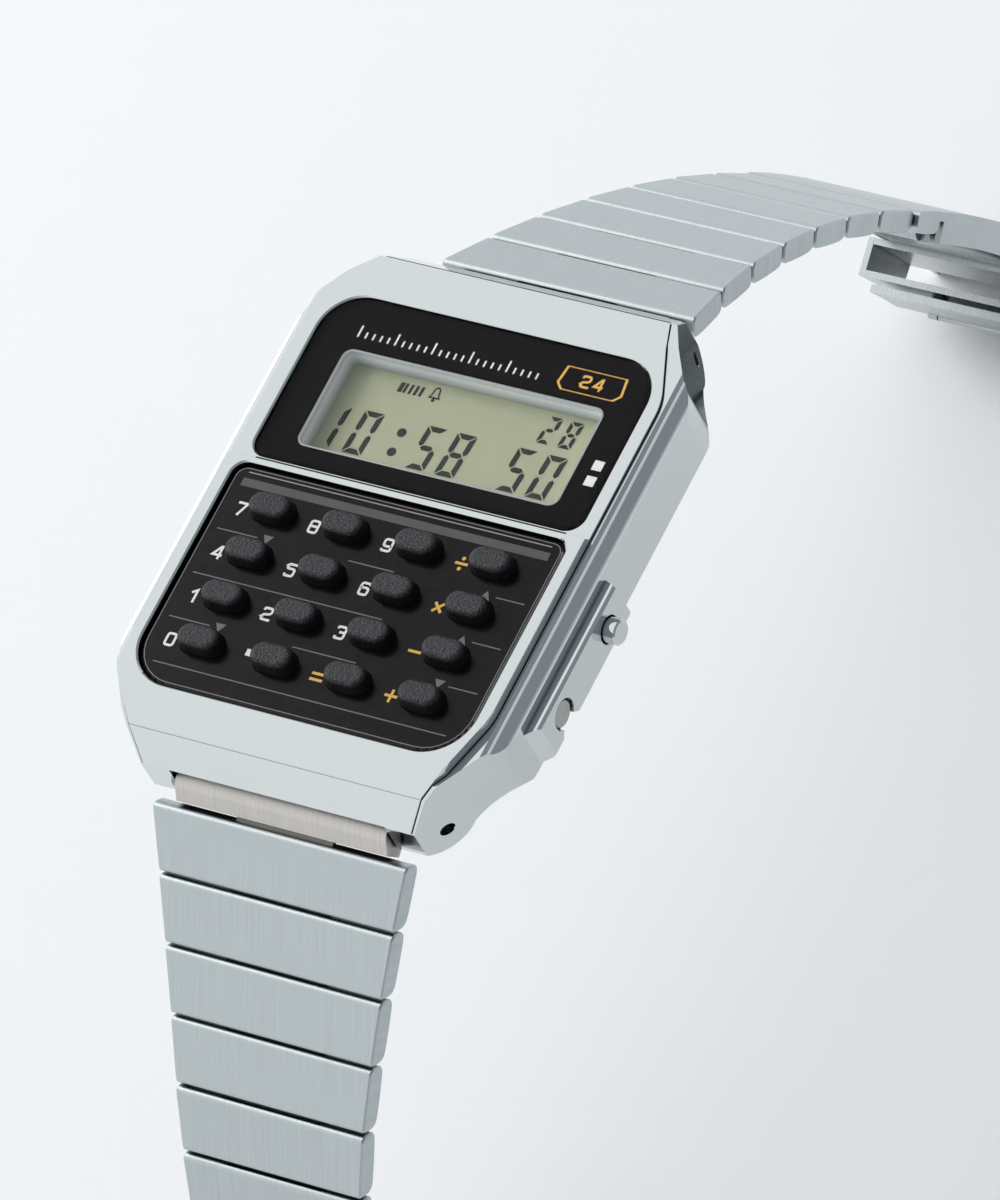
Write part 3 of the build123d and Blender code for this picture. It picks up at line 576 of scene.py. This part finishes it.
POLISHED = ["case_body", "front_frame", "mode_button"]
BRUSHED = (
    ["clasp_cover"]
    + [f"link_12_{i:02d}" for i in range(1, 8)]
    + [f"link_6_{i:02d}" for i in range(1, 13)]
)
CLASP_AND_BACK = ["clasp_middle_blade", "clasp_inner_blade", "slide_lock", "lock_flap", "case_back"]


class WATCH_OT_case_steel(bpy.types.Operator):
    """Polish the case, its frame and its buttons"""

    bl_idname = "watch.case_steel"
    bl_label = "Case steel"

    def execute(self, context):
        material = polished_steel()
        for name in POLISHED:
            finish_node(name, material)
        turned = plain_finish("turned_button_steel", "#AFACAA", 0.2 * MM, 0.2, 0.34, Metallic=1.0)
        finish_node("adjust_button", turned)
        return {"FINISHED"}


class WATCH_OT_bracelet_steel(bpy.types.Operator):
    """Brush the links, the clasp and the case back"""

    bl_idname = "watch.bracelet_steel"
    bl_label = "Bracelet steel"

    def execute(self, context):
        steel = context.scene.watch_steel
        links = brushed_steel("brushed_link_steel", steel.brushed)
        for name in BRUSHED:
            finish_node(name, links)
        # On the end links the painted shade reaches further and darkens more of the steel.
        ends = brushed_steel("brushed_end_steel", "#D3CEC8", reach=2.2, open_at=0.92)
        for name in ("end_link_12", "end_link_6"):
            finish_node(name, ends)
        inner = brushed_steel("brushed_clasp_steel", "#B9BEBF", low=0.2, high=0.34)
        for name in CLASP_AND_BACK:
            finish_node(name, inner)
        return {"FINISHED"}


class WATCH_OT_hidden_parts(bpy.types.Operator):
    """Finish the parts inside the case"""

    bl_idname = "watch.hidden_parts"
    bl_label = "Hidden parts"

    def execute(self, context):
        finishes = {
            "module_frame": plain_finish("moulded_carrier", "#46464A", 0.5 * MM, 0.45, 0.7),
            "circuit_board": plain_finish("green_solder_mask", "#1F6A3A", 0.4 * MM, 0.2, 0.45),
            "contact_strips": plain_finish("striped_contact_rubber", "#B06A86", 0.1 * MM, 0.6, 0.85),
            "coin_cell": plain_finish(
                "nickel_plated_can", "#D6D6D2", 1.0 * MM, 0.18, 0.34, Metallic=1.0
            ),
            "cell_clip": plain_finish("spring_brass", "#D4B060", 0.6 * MM, 0.2, 0.4, Metallic=1.0),
            "case_gasket": plain_finish("nitrile_seal", "#1B1B1C", 0.3 * MM, 0.6, 0.85),
            "key_membrane": plain_finish("silicone_membrane", "#3C3C40", 0.4 * MM, 0.5, 0.75),
            "case_screws": plain_finish(
                "turned_screw_steel", "#8F9497", 0.2 * MM, 0.16, 0.34, Metallic=1.0
            ),
            "spring_bars": plain_finish(
                "turned_bar_steel", "#B4B9BC", 0.3 * MM, 0.2, 0.4, Metallic=1.0
            ),
        }
        for name, material in finishes.items():
            finish_node(name, material)
        return {"FINISHED"}


# Display

# The print lies just over the glass's lower face, clear of the ledge that carries the glass.
PRINT_HEIGHT = WINDOW_LOW.z + FILM
PRINT_EDGE = 0.02 * MM
PRINT_ROUND_TOP = 3.25 * MM
PRINT_ROUND_BOTTOM = 1.25 * MM
OPENING_LOW = Vector((-10.87 * MM, 3.8 * MM))
OPENING_HIGH = Vector((10.87 * MM, 12.1 * MM))
OPENING_ROUND = 0.8 * MM
OPENING_LINE_HEIGHT = PRINT_HEIGHT - 2 * FILM
OPENING_LINE_WIDTH = 0.14 * MM

SEGMENT_HEIGHT = PANEL_HIGH.z + FILM
SEGMENT_GAP = 0.08 * MM
SLANT = 0.07
# The left edges of the digits at their foot, as (digit, x in millimetres).
TIME_DIGITS = [("1", -10.85), ("0", -8.15), ("5", -2.85), ("8", -0.4), ("5", 4.65), ("0", 7.1)]
TIME_LOW = 4.85 * MM
DATE_DIGITS = [("2", 5.85), ("8", 7.6)]
DATE_LOW = 9.15 * MM
# The date's digits against those of the time.
DATE_WIDTH_SHARE = 0.66
DATE_HEIGHT_SHARE = 0.62
DATE_STROKE_SHARE = 0.72
COLON_X = -4.35 * MM
COLON_DOTS = [5.75 * MM, 7.4 * MM]
COLON_RADIUS = 0.36 * MM

# Five small bars and a bell stand over the time. The first bar is thicker.
BAR_COUNT = 5
BAR_FIRST_X = -6.4 * MM
BAR_STEP = 0.44 * MM
BAR_LOW = 10.45 * MM
BAR_WIDTH = 0.22 * MM
BAR_TALL = 0.8 * MM
FIRST_BAR_SHARE = 1.6
BELL_X = -3.35 * MM
BELL_LOW = BAR_LOW + 0.1 * MM
BELL_SIZE = 1.4 * MM
# The bell in units of its size: its outline, its clapper, and its hollow, drawn in about BELL_HEART.
BELL_DOME = [
    (-0.36, 0.0), (0.36, 0.0), (0.24, 0.2), (0.2, 0.5),
    (0.1, 0.68), (-0.1, 0.68), (-0.2, 0.5), (-0.24, 0.2),
]
BELL_HEART = 0.34
BELL_HOLLOW_WIDTH_SHARE = 0.612
BELL_HOLLOW_HEIGHT_SHARE = 0.72
BELL_CLAPPER = 0.1

# The lit segments of each digit: a top, b and c right, d foot, e and f left, g middle.
LIT = {
    "0": "abcdef", "1": "bc", "2": "abdeg", "3": "abcdg", "4": "bcfg",
    "5": "acdfg", "6": "acdefg", "7": "abc", "8": "abcdefg", "9": "abcdfg",
}


def segment_outlines(width, height, stroke, gap):
    """The outline of each segment in a digit's own box, mitred at the corners."""
    half = height / 2
    reach = stroke / 2
    left = gap + stroke
    right = width - gap - stroke
    left_upper = [
        (0, half + gap + reach), (reach, half + gap), (stroke, half + gap + reach),
        (stroke, height - gap - stroke), (0, height - gap),
    ]
    return {
        "a": [(left, height - stroke), (right, height - stroke), (width - gap, height), (gap, height)],
        "d": [(gap, 0), (width - gap, 0), (right, stroke), (left, stroke)],
        "g": [(gap + reach, half), (left, half - reach), (right, half - reach),
              (width - gap - reach, half), (right, half + reach), (left, half + reach)],
        "f": left_upper,
        "e": [(x, height - y) for x, y in reversed(left_upper)],
        "b": [(width - x, y) for x, y in reversed(left_upper)],
        "c": [(width - x, height - y) for x, y in left_upper],
    }


def add_slanted_bar(bm, x, y, width, height):
    """A bar leaning like the digits."""
    lean = SLANT * height
    corners = [(x, y), (x + width, y), (x + width + lean, y + height), (x + lean, y + height)]
    add_sheet(bm, corners, SEGMENT_HEIGHT)


def add_digit(bm, digit, x, y, width, height, stroke):
    """The lit segments of a digit, leaning to the right."""
    outlines = segment_outlines(width, height, stroke, SEGMENT_GAP)
    for name in LIT[digit]:
        placed = [(x + px + SLANT * py, y + py) for px, py in outlines[name]]
        add_sheet(bm, placed, SEGMENT_HEIGHT)


def rounded_corner(centre, radius, start):
    """Points of a quarter arc, anticlockwise from the start angle in quarter turns."""
    angles = [(start + i / ARC_STEPS) * math.pi / 2 for i in range(ARC_STEPS + 1)]
    return [(centre[0] + radius * math.cos(a), centre[1] + radius * math.sin(a)) for a in angles]


def rounded_box(low, high, round_low, round_high):
    """Outline of a box with its own corner radius at the foot and at the top."""
    return (
        rounded_corner((high[0] - round_high, high[1] - round_high), round_high, 0)
        + rounded_corner((low[0] + round_high, high[1] - round_high), round_high, 1)
        + rounded_corner((low[0] + round_low, low[1] + round_low), round_low, 2)
        + rounded_corner((high[0] - round_low, low[1] + round_low), round_low, 3)
    )


def inset_box(low, high, round_low, round_high, inset):
    """Outline of a box with rounded corners, drawn in by an even margin."""
    return rounded_box(
        (low[0] + inset, low[1] + inset), (high[0] - inset, high[1] - inset),
        round_low - inset, round_high - inset,
    )


def add_ring(bm, outer, inner, height):
    """A flat sheet between two outlines of as many points each."""
    loops = []
    for outline in (outer, inner):
        verts = [bm.verts.new((x, y, height)) for x, y in outline]
        loops.append([bm.edges.new((verts[i - 1], verts[i])) for i in range(len(verts))])
    bridged = bmesh.ops.bridge_loops(bm, edges=loops[0] + loops[1])
    thicken(bm, bridged["faces"])


def add_bell(bm, x, y):
    """The alarm's bell: a dome on a flared foot with its clapper."""
    outer = [(x + BELL_SIZE * px, y + BELL_SIZE * py) for px, py in BELL_DOME]
    hollow = [
        (px * BELL_HOLLOW_WIDTH_SHARE, BELL_HEART + (py - BELL_HEART) * BELL_HOLLOW_HEIGHT_SHARE)
        for px, py in BELL_DOME
    ]
    inner = [(x + BELL_SIZE * px, y + BELL_SIZE * py) for px, py in hollow]
    add_ring(bm, outer, inner, SEGMENT_HEIGHT)
    clapper = BELL_CLAPPER * BELL_SIZE
    add_disc(bm, (x, y - clapper), clapper, SEGMENT_HEIGHT)


def lay_opening_line(opening):
    """The bezel's silvered lip round the display's opening, drawn as a bright line with a painted
    highlight.
    """
    bm = bmesh.new()
    inner = inset_box(OPENING_LOW, OPENING_HIGH, OPENING_ROUND, OPENING_ROUND, OPENING_LINE_WIDTH)
    add_ring(bm, opening, inner, OPENING_LINE_HEIGHT)
    # Painted highlight: the line is drawn brighter than the silvered lip it stands for.
    silver = plain_finish("silver_opening_highlight", "#E9EDEE", 0.5 * MM, 0.3, 0.5)
    on_case("opening_line", bm, silver)


def lay_window_print(opening, colour):
    """The black print behind the glass, open over the display."""
    bm = bmesh.new()
    outer = rounded_box(
        (WINDOW_LOW.x + PRINT_EDGE, WINDOW_LOW.y + PRINT_EDGE),
        (WINDOW_HIGH.x - PRINT_EDGE, WINDOW_HIGH.y - PRINT_EDGE),
        PRINT_ROUND_BOTTOM, PRINT_ROUND_TOP,
    )
    add_ring(bm, outer, opening, PRINT_HEIGHT)
    black = plain_finish("window_back_print", colour, 0.8 * MM, 0.5, 0.7, Specular_IOR_Level=0.03)
    on_case("window_print", bm, black)


def lay_segments(display):
    """The lit segments: the time, the date, the colon, the bars and the bell."""
    bm = bmesh.new()
    width, height, stroke = display.digit_width, display.digit_height, display.stroke
    for digit, x in TIME_DIGITS:
        add_digit(bm, digit, x * MM, TIME_LOW, width, height, stroke)
    date_size = (DATE_WIDTH_SHARE * width, DATE_HEIGHT_SHARE * height, DATE_STROKE_SHARE * stroke)
    for digit, x in DATE_DIGITS:
        add_digit(bm, digit, x * MM, DATE_LOW, *date_size)
    for y in COLON_DOTS:
        add_disc(bm, (COLON_X, y), COLON_RADIUS, SEGMENT_HEIGHT)
    for bar in range(BAR_COUNT):
        wide = BAR_WIDTH * (FIRST_BAR_SHARE if bar == 0 else 1.0)
        add_slanted_bar(bm, BAR_FIRST_X + bar * BAR_STEP, BAR_LOW, wide, BAR_TALL)
    add_bell(bm, BELL_X, BELL_LOW)
    dark = plain_finish(
        "liquid_crystal_segment", display.segment, 0.5 * MM, 0.5, 0.7, Specular_IOR_Level=0.1
    )
    on_case("display_segments", bm, dark)


class WATCH_OT_display(bpy.types.Operator):
    """Lay the black window print, its silvered opening with a painted highlight line, and the lit
    segments
    """

    bl_idname = "watch.display"
    bl_label = "Display"

    def execute(self, context):
        finish_node("display_window", clear_glass())
        finish_node("display_bezel", silvered_bezel())
        finish_node("lcd_panel", display_polariser())
        opening = rounded_box(OPENING_LOW, OPENING_HIGH, OPENING_ROUND, OPENING_ROUND)
        lay_opening_line(opening)
        lay_window_print(opening, context.scene.watch_print.black)
        lay_segments(context.scene.watch_display)
        return {"FINISHED"}


# Window marks

WINDOW_MARK_HEIGHT = PRINT_HEIGHT + 2 * FILM
# A row of fine graduations stands over the display, and each fifth one is taller.
GRADUATION_COUNT = 25
GRADUATION_FIRST_X = -10.5 * MM
GRADUATION_STEP = 0.62 * MM
GRADUATION_WIDTH = 0.14 * MM
GRADUATION_LOW = 13.1 * MM
GRADUATION_TALL = 0.95 * MM
GRADUATION_SHORT = 0.5 * MM
TALL_EVERY = 5
# Two small squares stand beside the display.
SQUARE_X = 12.0 * MM
SQUARE_FEET = [6.0 * MM, 7.3 * MM]
SQUARE_SIDE = 0.8 * MM
# The corners of the badge round the plain number, in millimetres.
BADGE = [(6.6, 12.8), (11.0, 12.8), (11.5, 13.3), (11.3, 14.75), (6.3, 14.75), (6.1, 13.3)]
BADGE_MIDDLE = Vector((8.8 * MM, 13.8 * MM))
BADGE_HOLLOW_SHARE = 0.93
BADGE_NUMBER = "24"
BADGE_NUMBER_HEIGHT = 1.05 * MM


class WATCH_OT_window_marks(bpy.types.Operator):
    """Print plain marks round the display"""

    bl_idname = "watch.window_marks"
    bl_label = "Window marks"

    def execute(self, context):
        colours = context.scene.watch_print
        pale = ink("pale_window_ink", colours.pale)
        amber = ink("amber_window_ink", colours.amber)
        bm = bmesh.new()
        for i in range(GRADUATION_COUNT):
            x = GRADUATION_FIRST_X + i * GRADUATION_STEP
            head = GRADUATION_LOW + (GRADUATION_SHORT if i % TALL_EVERY else GRADUATION_TALL)
            add_block(bm, (x, GRADUATION_LOW), (x + GRADUATION_WIDTH, head), WINDOW_MARK_HEIGHT)
        for y in SQUARE_FEET:
            add_block(bm, (SQUARE_X, y), (SQUARE_X + SQUARE_SIDE, y + SQUARE_SIDE), WINDOW_MARK_HEIGHT)
        on_case("window_graduations", bm, pale)

        bm = bmesh.new()
        outer = [Vector(corner) * MM for corner in BADGE]
        inner = [BADGE_MIDDLE + (corner - BADGE_MIDDLE) * BADGE_HOLLOW_SHARE for corner in outer]
        add_ring(bm, outer, inner, WINDOW_MARK_HEIGHT)
        on_case("window_badge", bm, amber)

        bm = bmesh.new()
        printed_number(bm, BADGE_NUMBER, *BADGE_MIDDLE, BADGE_NUMBER_HEIGHT, WINDOW_MARK_HEIGHT)
        on_case("window_badge_number", bm, amber)
        return {"FINISHED"}


# Keypad

PLATE_TOP = PLATE_HIGH.z
PLATE_ROUND_LOW = 3.55 * MM
PLATE_ROUND_HIGH = 1.15 * MM
PLATE_BEVEL = 0.3 * MM

LABEL_COLUMNS = [-11.7 * MM, -5.6 * MM, 0.55 * MM, 6.65 * MM]
LABEL_ROWS = [-2.42 * MM, -6.1 * MM, -9.8 * MM, -13.5 * MM]
LABELS = ["789", "456", "123", "0"]
SIGNS = "/*-+"
SIGN_REACH = 0.52 * MM
SIGN_HALF_STROKE = 0.105 * MM
DIVISION_DOT_LIFT = 0.42 * MM
DIVISION_DOT_RADIUS = 0.15 * MM
EQUALS_LIFT = 0.24 * MM
POINT_X = -5.35 * MM
POINT_Y = -13.0 * MM
POINT_HALF_SIDE = 0.27 * MM

# The lines between the key rows, in millimetres, as (y, runs of x, arrows).
# An arrow is its x and 1 for up or -1 for down.
LINES = [
    (-4.3, [(-12.75, -9.35), (-1.75, 2.05), (10.45, 12.8)], [(-8.55, -1), (9.65, 1)]),
    (-8.05, [(-12.75, 3.05), (10.45, 12.8)], [(9.65, 1)]),
    (-11.75, [(-12.75, -9.35), (-2.45, 2.85), (10.45, 12.8)], [(-8.55, -1), (9.65, -1)]),
    (-15.4, [(-12.15, 12.15)], []),
]
ARROW_HALF_WIDTH = 0.42 * MM
ARROW_HEIGHT = 0.72 * MM

RIM_INSET = 0.02 * MM
EDGE_LINE_INSET = 0.32 * MM
EDGE_LINE_WIDTH = 0.07 * MM
# Straight bands across the case, as (half their length, lower edge, width).
TOP_LINE = (12.6 * MM, 0.45 * MM, 0.08 * MM)
STRIP = (12.75 * MM, -0.65 * MM, 0.65 * MM)
# A painted shadow line lies along the foot of the frame's step, between the display and the keypad.
STEP_SHADOW_LINE = (12.9 * MM, 1.85 * MM, 0.08 * MM)
STEP_HEIGHT = 6.75 * MM


def plate_outline(inset):
    """Outline of the keypad's plate, drawn in by an even margin."""
    return inset_box(PLATE_LOW, PLATE_HIGH, PLATE_ROUND_LOW, PLATE_ROUND_HIGH, inset)


def is_on(outline, place):
    """Whether a vertex stands on a point of the outline."""
    return min(math.hypot(place.x - x, place.y - y) for x, y in outline) < RIM_INSET / 4


def add_sign_bar(bm, x, y):
    """A level bar of a sign, centred on a place."""
    low = (x - SIGN_REACH, y - SIGN_HALF_STROKE)
    high = (x + SIGN_REACH, y + SIGN_HALF_STROKE)
    add_block(bm, low, high, PLATE_TOP)


def print_digits(pale, size):
    """The number beside each key."""
    bm = bmesh.new()
    for y, text in zip(LABEL_ROWS, LABELS):
        for x, digit in zip(LABEL_COLUMNS, text):
            printed_number(bm, digit, x, y, size, PLATE_TOP)
    on_case("keypad_digits", bm, pale)


def print_point(pale):
    """The square point beside its key."""
    bm = bmesh.new()
    low = (POINT_X - POINT_HALF_SIDE, POINT_Y - POINT_HALF_SIDE)
    high = (POINT_X + POINT_HALF_SIDE, POINT_Y + POINT_HALF_SIDE)
    add_block(bm, low, high, PLATE_TOP)
    on_case("keypad_point", bm, pale)


def print_signs(amber):
    """The four signs of the last column, and the equals sign in the one before."""
    bm = bmesh.new()
    x = LABEL_COLUMNS[3]
    for sign, y in zip(SIGNS, LABEL_ROWS):
        if sign in "/-":
            add_sign_bar(bm, x, y)
        if sign in "*+":
            turn = math.pi / 4 if sign == "*" else 0.0
            add_sheet(bm, cross_outline(x, y, SIGN_REACH, SIGN_HALF_STROKE, turn), PLATE_TOP)
        if sign == "/":
            add_disc(bm, (x, y + DIVISION_DOT_LIFT), DIVISION_DOT_RADIUS, PLATE_TOP)
            add_disc(bm, (x, y - DIVISION_DOT_LIFT), DIVISION_DOT_RADIUS, PLATE_TOP)
    for lift in (EQUALS_LIFT, -EQUALS_LIFT):
        add_sign_bar(bm, LABEL_COLUMNS[2], LABEL_ROWS[3] + lift)
    on_case("keypad_signs", bm, amber)


def print_lines(dim, width):
    """The lines between the key rows, with small arrows beside them."""
    bm = bmesh.new()
    half = width / 2
    for line, runs, arrows in LINES:
        y = line * MM
        for start, end in runs:
            add_block(bm, (start * MM, y - half), (end * MM, y + half), PLATE_TOP)
        for middle, up in arrows:
            x = middle * MM
            rise = up * ARROW_HEIGHT / 2
            foot_left = (x - ARROW_HALF_WIDTH, y - rise)
            foot_right = (x + ARROW_HALF_WIDTH, y - rise)
            add_sheet(bm, [foot_left, foot_right, (x, y + rise)], PLATE_TOP)
    on_case("keypad_lines", bm, dim)


def lay_plate_edge():
    """A pale line round the plate, a painted highlight of its bevel, and its cut bevel."""
    bm = bmesh.new()
    outer = plate_outline(EDGE_LINE_INSET)
    inner = plate_outline(EDGE_LINE_INSET + EDGE_LINE_WIDTH)
    add_ring(bm, outer, inner, PLATE_TOP + FILM / 2)
    # The pale line is a painted highlight along the plate's bevel.
    shine = plain_finish("painted_bevel_highlight", "#77726C", 0.4 * MM, 0.2, 0.4)
    on_case("keypad_edge_line", bm, shine)

    bm = bmesh.new()
    outer = plate_outline(RIM_INSET)
    add_ring(bm, outer, plate_outline(PLATE_BEVEL), PLATE_TOP)
    for vertex in bm.verts:
        if is_on(outer, vertex.co):
            vertex.co.z -= PLATE_BEVEL - RIM_INSET
    rim = plain_finish("cut_acrylic_edge", "#26262A", 0.4 * MM, 0.08, 0.16, IOR=1.49)
    on_case("keypad_rim", bm, rim)


def lay_band(name, band, height, material):
    """A straight line across the case, even about its middle."""
    half_length, low, width = band
    bm = bmesh.new()
    add_block(bm, (-half_length, low), (half_length, low + width), height)
    on_case(name, bm, material)


class WATCH_OT_keypad_print(bpy.types.Operator):
    """Print the digits, signs and lines of the keypad, and lay its edge with painted highlights and the
    painted shadow line above it
    """

    bl_idname = "watch.keypad_print"
    bl_label = "Keypad print"

    def execute(self, context):
        colours = context.scene.watch_print
        finish_node("keypad_plate", lacquer_black())
        pale = ink("pale_keypad_ink", colours.pale)
        print_digits(pale, colours.label_height)
        print_point(pale)
        print_signs(ink("amber_keypad_ink", colours.amber))
        print_lines(ink("dim_keypad_ink", colours.dim), colours.line_width)
        lay_plate_edge()
        # A painted glint: a pale line along the plate's top bevel.
        glint = ink("painted_bevel_glint", "#A59C96")
        lay_band("keypad_top_line", TOP_LINE, PLATE_TOP, glint)
        # A painted shadow: a dark line along the foot of the frame's step.
        step_shadow = plain_finish("painted_step_shadow", "#171615", 0.5 * MM, 0.7, 0.9)
        lay_band("frame_step_shadow", STEP_SHADOW_LINE, STEP_HEIGHT + FILM, step_shadow)
        beige = ink("beige_keypad_ink", "#4C4641")
        lay_band("keypad_strip", STRIP, PLATE_TOP, beige)
        return {"FINISHED"}


class WATCH_OT_keys(bpy.types.Operator):
    """Give the sixteen keys their pebbled rubber"""

    bl_idname = "watch.keys"
    bl_label = "Keys"

    def execute(self, context):
        material = key_rubber()
        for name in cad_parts:
            if name.startswith("key_") and name != "key_membrane":
                finish_node(name, material)
        return {"FINISHED"}


# Stage

# The photograph's camera: its place, and its turn about X, Y and Z in degrees.
CAMERA_PLACE = Vector((425.48, -312.78, 639.66)) * MM
CAMERA_TURN = [34.690, 19.623, 27.478]
CAMERA_NEAR = 50.0 * MM
CAMERA_FAR = 20000.0 * MM
FLOOR_HALF_SIDE = 2500.0 * MM
# The lamp stands where the flat faces of the frame and the glass don't mirror it.
LAMP_PLACE = Vector((-640.0, 100.0, 430.0)) * MM
LAMP_SIDE = 450.0 * MM
# The tones of the tent round the watch, from its left to its right, as (share of the way, sRGB hex).
TENT_TONES = [(0.3, "#F6F9FB"), (0.62, "#8A9199")]
TENT_STRENGTH = 1.05


def softbox(name, place, aim, side, power):
    """A flat square lamp that faces its aim."""
    lamp = bpy.data.lights.new(name, "AREA")
    lamp.shape = "SQUARE"
    lamp.size = side
    lamp.energy = power
    holder = bpy.data.objects.new(name, lamp)
    holder.location = place
    holder.rotation_euler = (aim - place).to_track_quat("-Z", "Y").to_euler()
    bpy.context.scene.collection.objects.link(holder)


def studio_world():
    """A pale tent, bright on the left of the watch and grey on its right."""
    world = bpy.data.worlds.new("studio")
    world.use_nodes = True
    background = world.node_tree.nodes["Background"]
    place = add_node(world, "ShaderNodeTexCoord")
    split = add_node(world, "ShaderNodeSeparateXYZ", [("Vector", place, "Generated")])
    across = add_node(
        world, "ShaderNodeMapRange", [("Value", split, "X")], **{"From Min": -1.0, "From Max": 1.0}
    )
    ramp = add_node(world, "ShaderNodeValToRGB", [("Fac", across, "Result")])
    for element, (position, colour) in zip(ramp.color_ramp.elements, TENT_TONES):
        element.position = position
        element.color = linear(colour)
    world.node_tree.links.new(ramp.outputs["Color"], background.inputs["Color"])
    background.inputs["Strength"].default_value = TENT_STRENGTH
    bpy.context.scene.world = world


class WATCH_OT_stage(bpy.types.Operator):
    """Lay the floor and set the lamps and the camera"""

    bl_idname = "watch.stage"
    bl_label = "Stage"

    def execute(self, context):
        stage = context.scene.watch_stage
        low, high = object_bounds()
        bm = bmesh.new()
        bmesh.ops.create_grid(bm, x_segments=1, y_segments=1, size=FLOOR_HALF_SIDE)
        bmesh.ops.translate(bm, vec=(0, 0, low.z), verts=bm.verts)
        floor = bpy.data.objects.new("floor", to_mesh(bm, "floor"))
        floor.data.materials.append(plain_finish("paper_floor", stage.floor, 5 * MM, 0.7, 0.9))
        context.scene.collection.objects.link(floor)
        floor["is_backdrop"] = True

        studio_world()
        softbox("key", LAMP_PLACE, (low + high) / 2, LAMP_SIDE, stage.softbox_power)

        lens = bpy.data.cameras.new("camera")
        lens.lens = stage.focal_length
        lens.sensor_fit = "AUTO"
        lens.clip_start = CAMERA_NEAR
        lens.clip_end = CAMERA_FAR
        camera = bpy.data.objects.new("camera", lens)
        camera.location = CAMERA_PLACE
        camera.rotation_euler = Euler([math.radians(a) for a in CAMERA_TURN], "XYZ")
        context.scene.collection.objects.link(camera)
        context.scene.camera = camera
        context.scene.view_settings.view_transform = "Standard"
        return {"FINISHED"}


class WATCH_PT_panel(bpy.types.Panel):
    bl_idname = "WATCH_PT_panel"
    bl_label = "Calculator watch"
    bl_space_type = "VIEW_3D"
    bl_region_type = "UI"
    bl_category = "Watch"

    def draw(self, context):
        for operator in OPERATORS:
            self.layout.operator(operator.bl_idname)
        for group in SETTINGS:
            settings = getattr(context.scene, group)
            for name in settings.bl_rna.properties.keys():
                if name not in ("rna_type", "name"):
                    self.layout.prop(settings, name)


OPERATORS = [
    WATCH_OT_case_steel, WATCH_OT_bracelet_steel, WATCH_OT_hidden_parts, WATCH_OT_display,
    WATCH_OT_window_marks, WATCH_OT_keypad_print, WATCH_OT_keys, WATCH_OT_stage,
]
SETTINGS = {
    "watch_steel": WatchSteel,
    "watch_print": WatchPrint,
    "watch_display": WatchDisplay,
    "watch_stage": WatchStage,
}


def register():
    for group in (*SETTINGS.values(), *OPERATORS, WATCH_PT_panel):
        bpy.utils.register_class(group)
    for name, group in SETTINGS.items():
        setattr(bpy.types.Scene, name, bpy.props.PointerProperty(type=group))


def unregister():
    for name in SETTINGS:
        delattr(bpy.types.Scene, name)
    for group in reversed((*SETTINGS.values(), *OPERATORS, WATCH_PT_panel)):
        bpy.utils.unregister_class(group)


def main():
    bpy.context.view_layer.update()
    register()
    for operator in OPERATORS:
        namespace, name = operator.bl_idname.split(".")
        getattr(getattr(bpy.ops, namespace), name)()


if __name__ == "__main__":
    main()
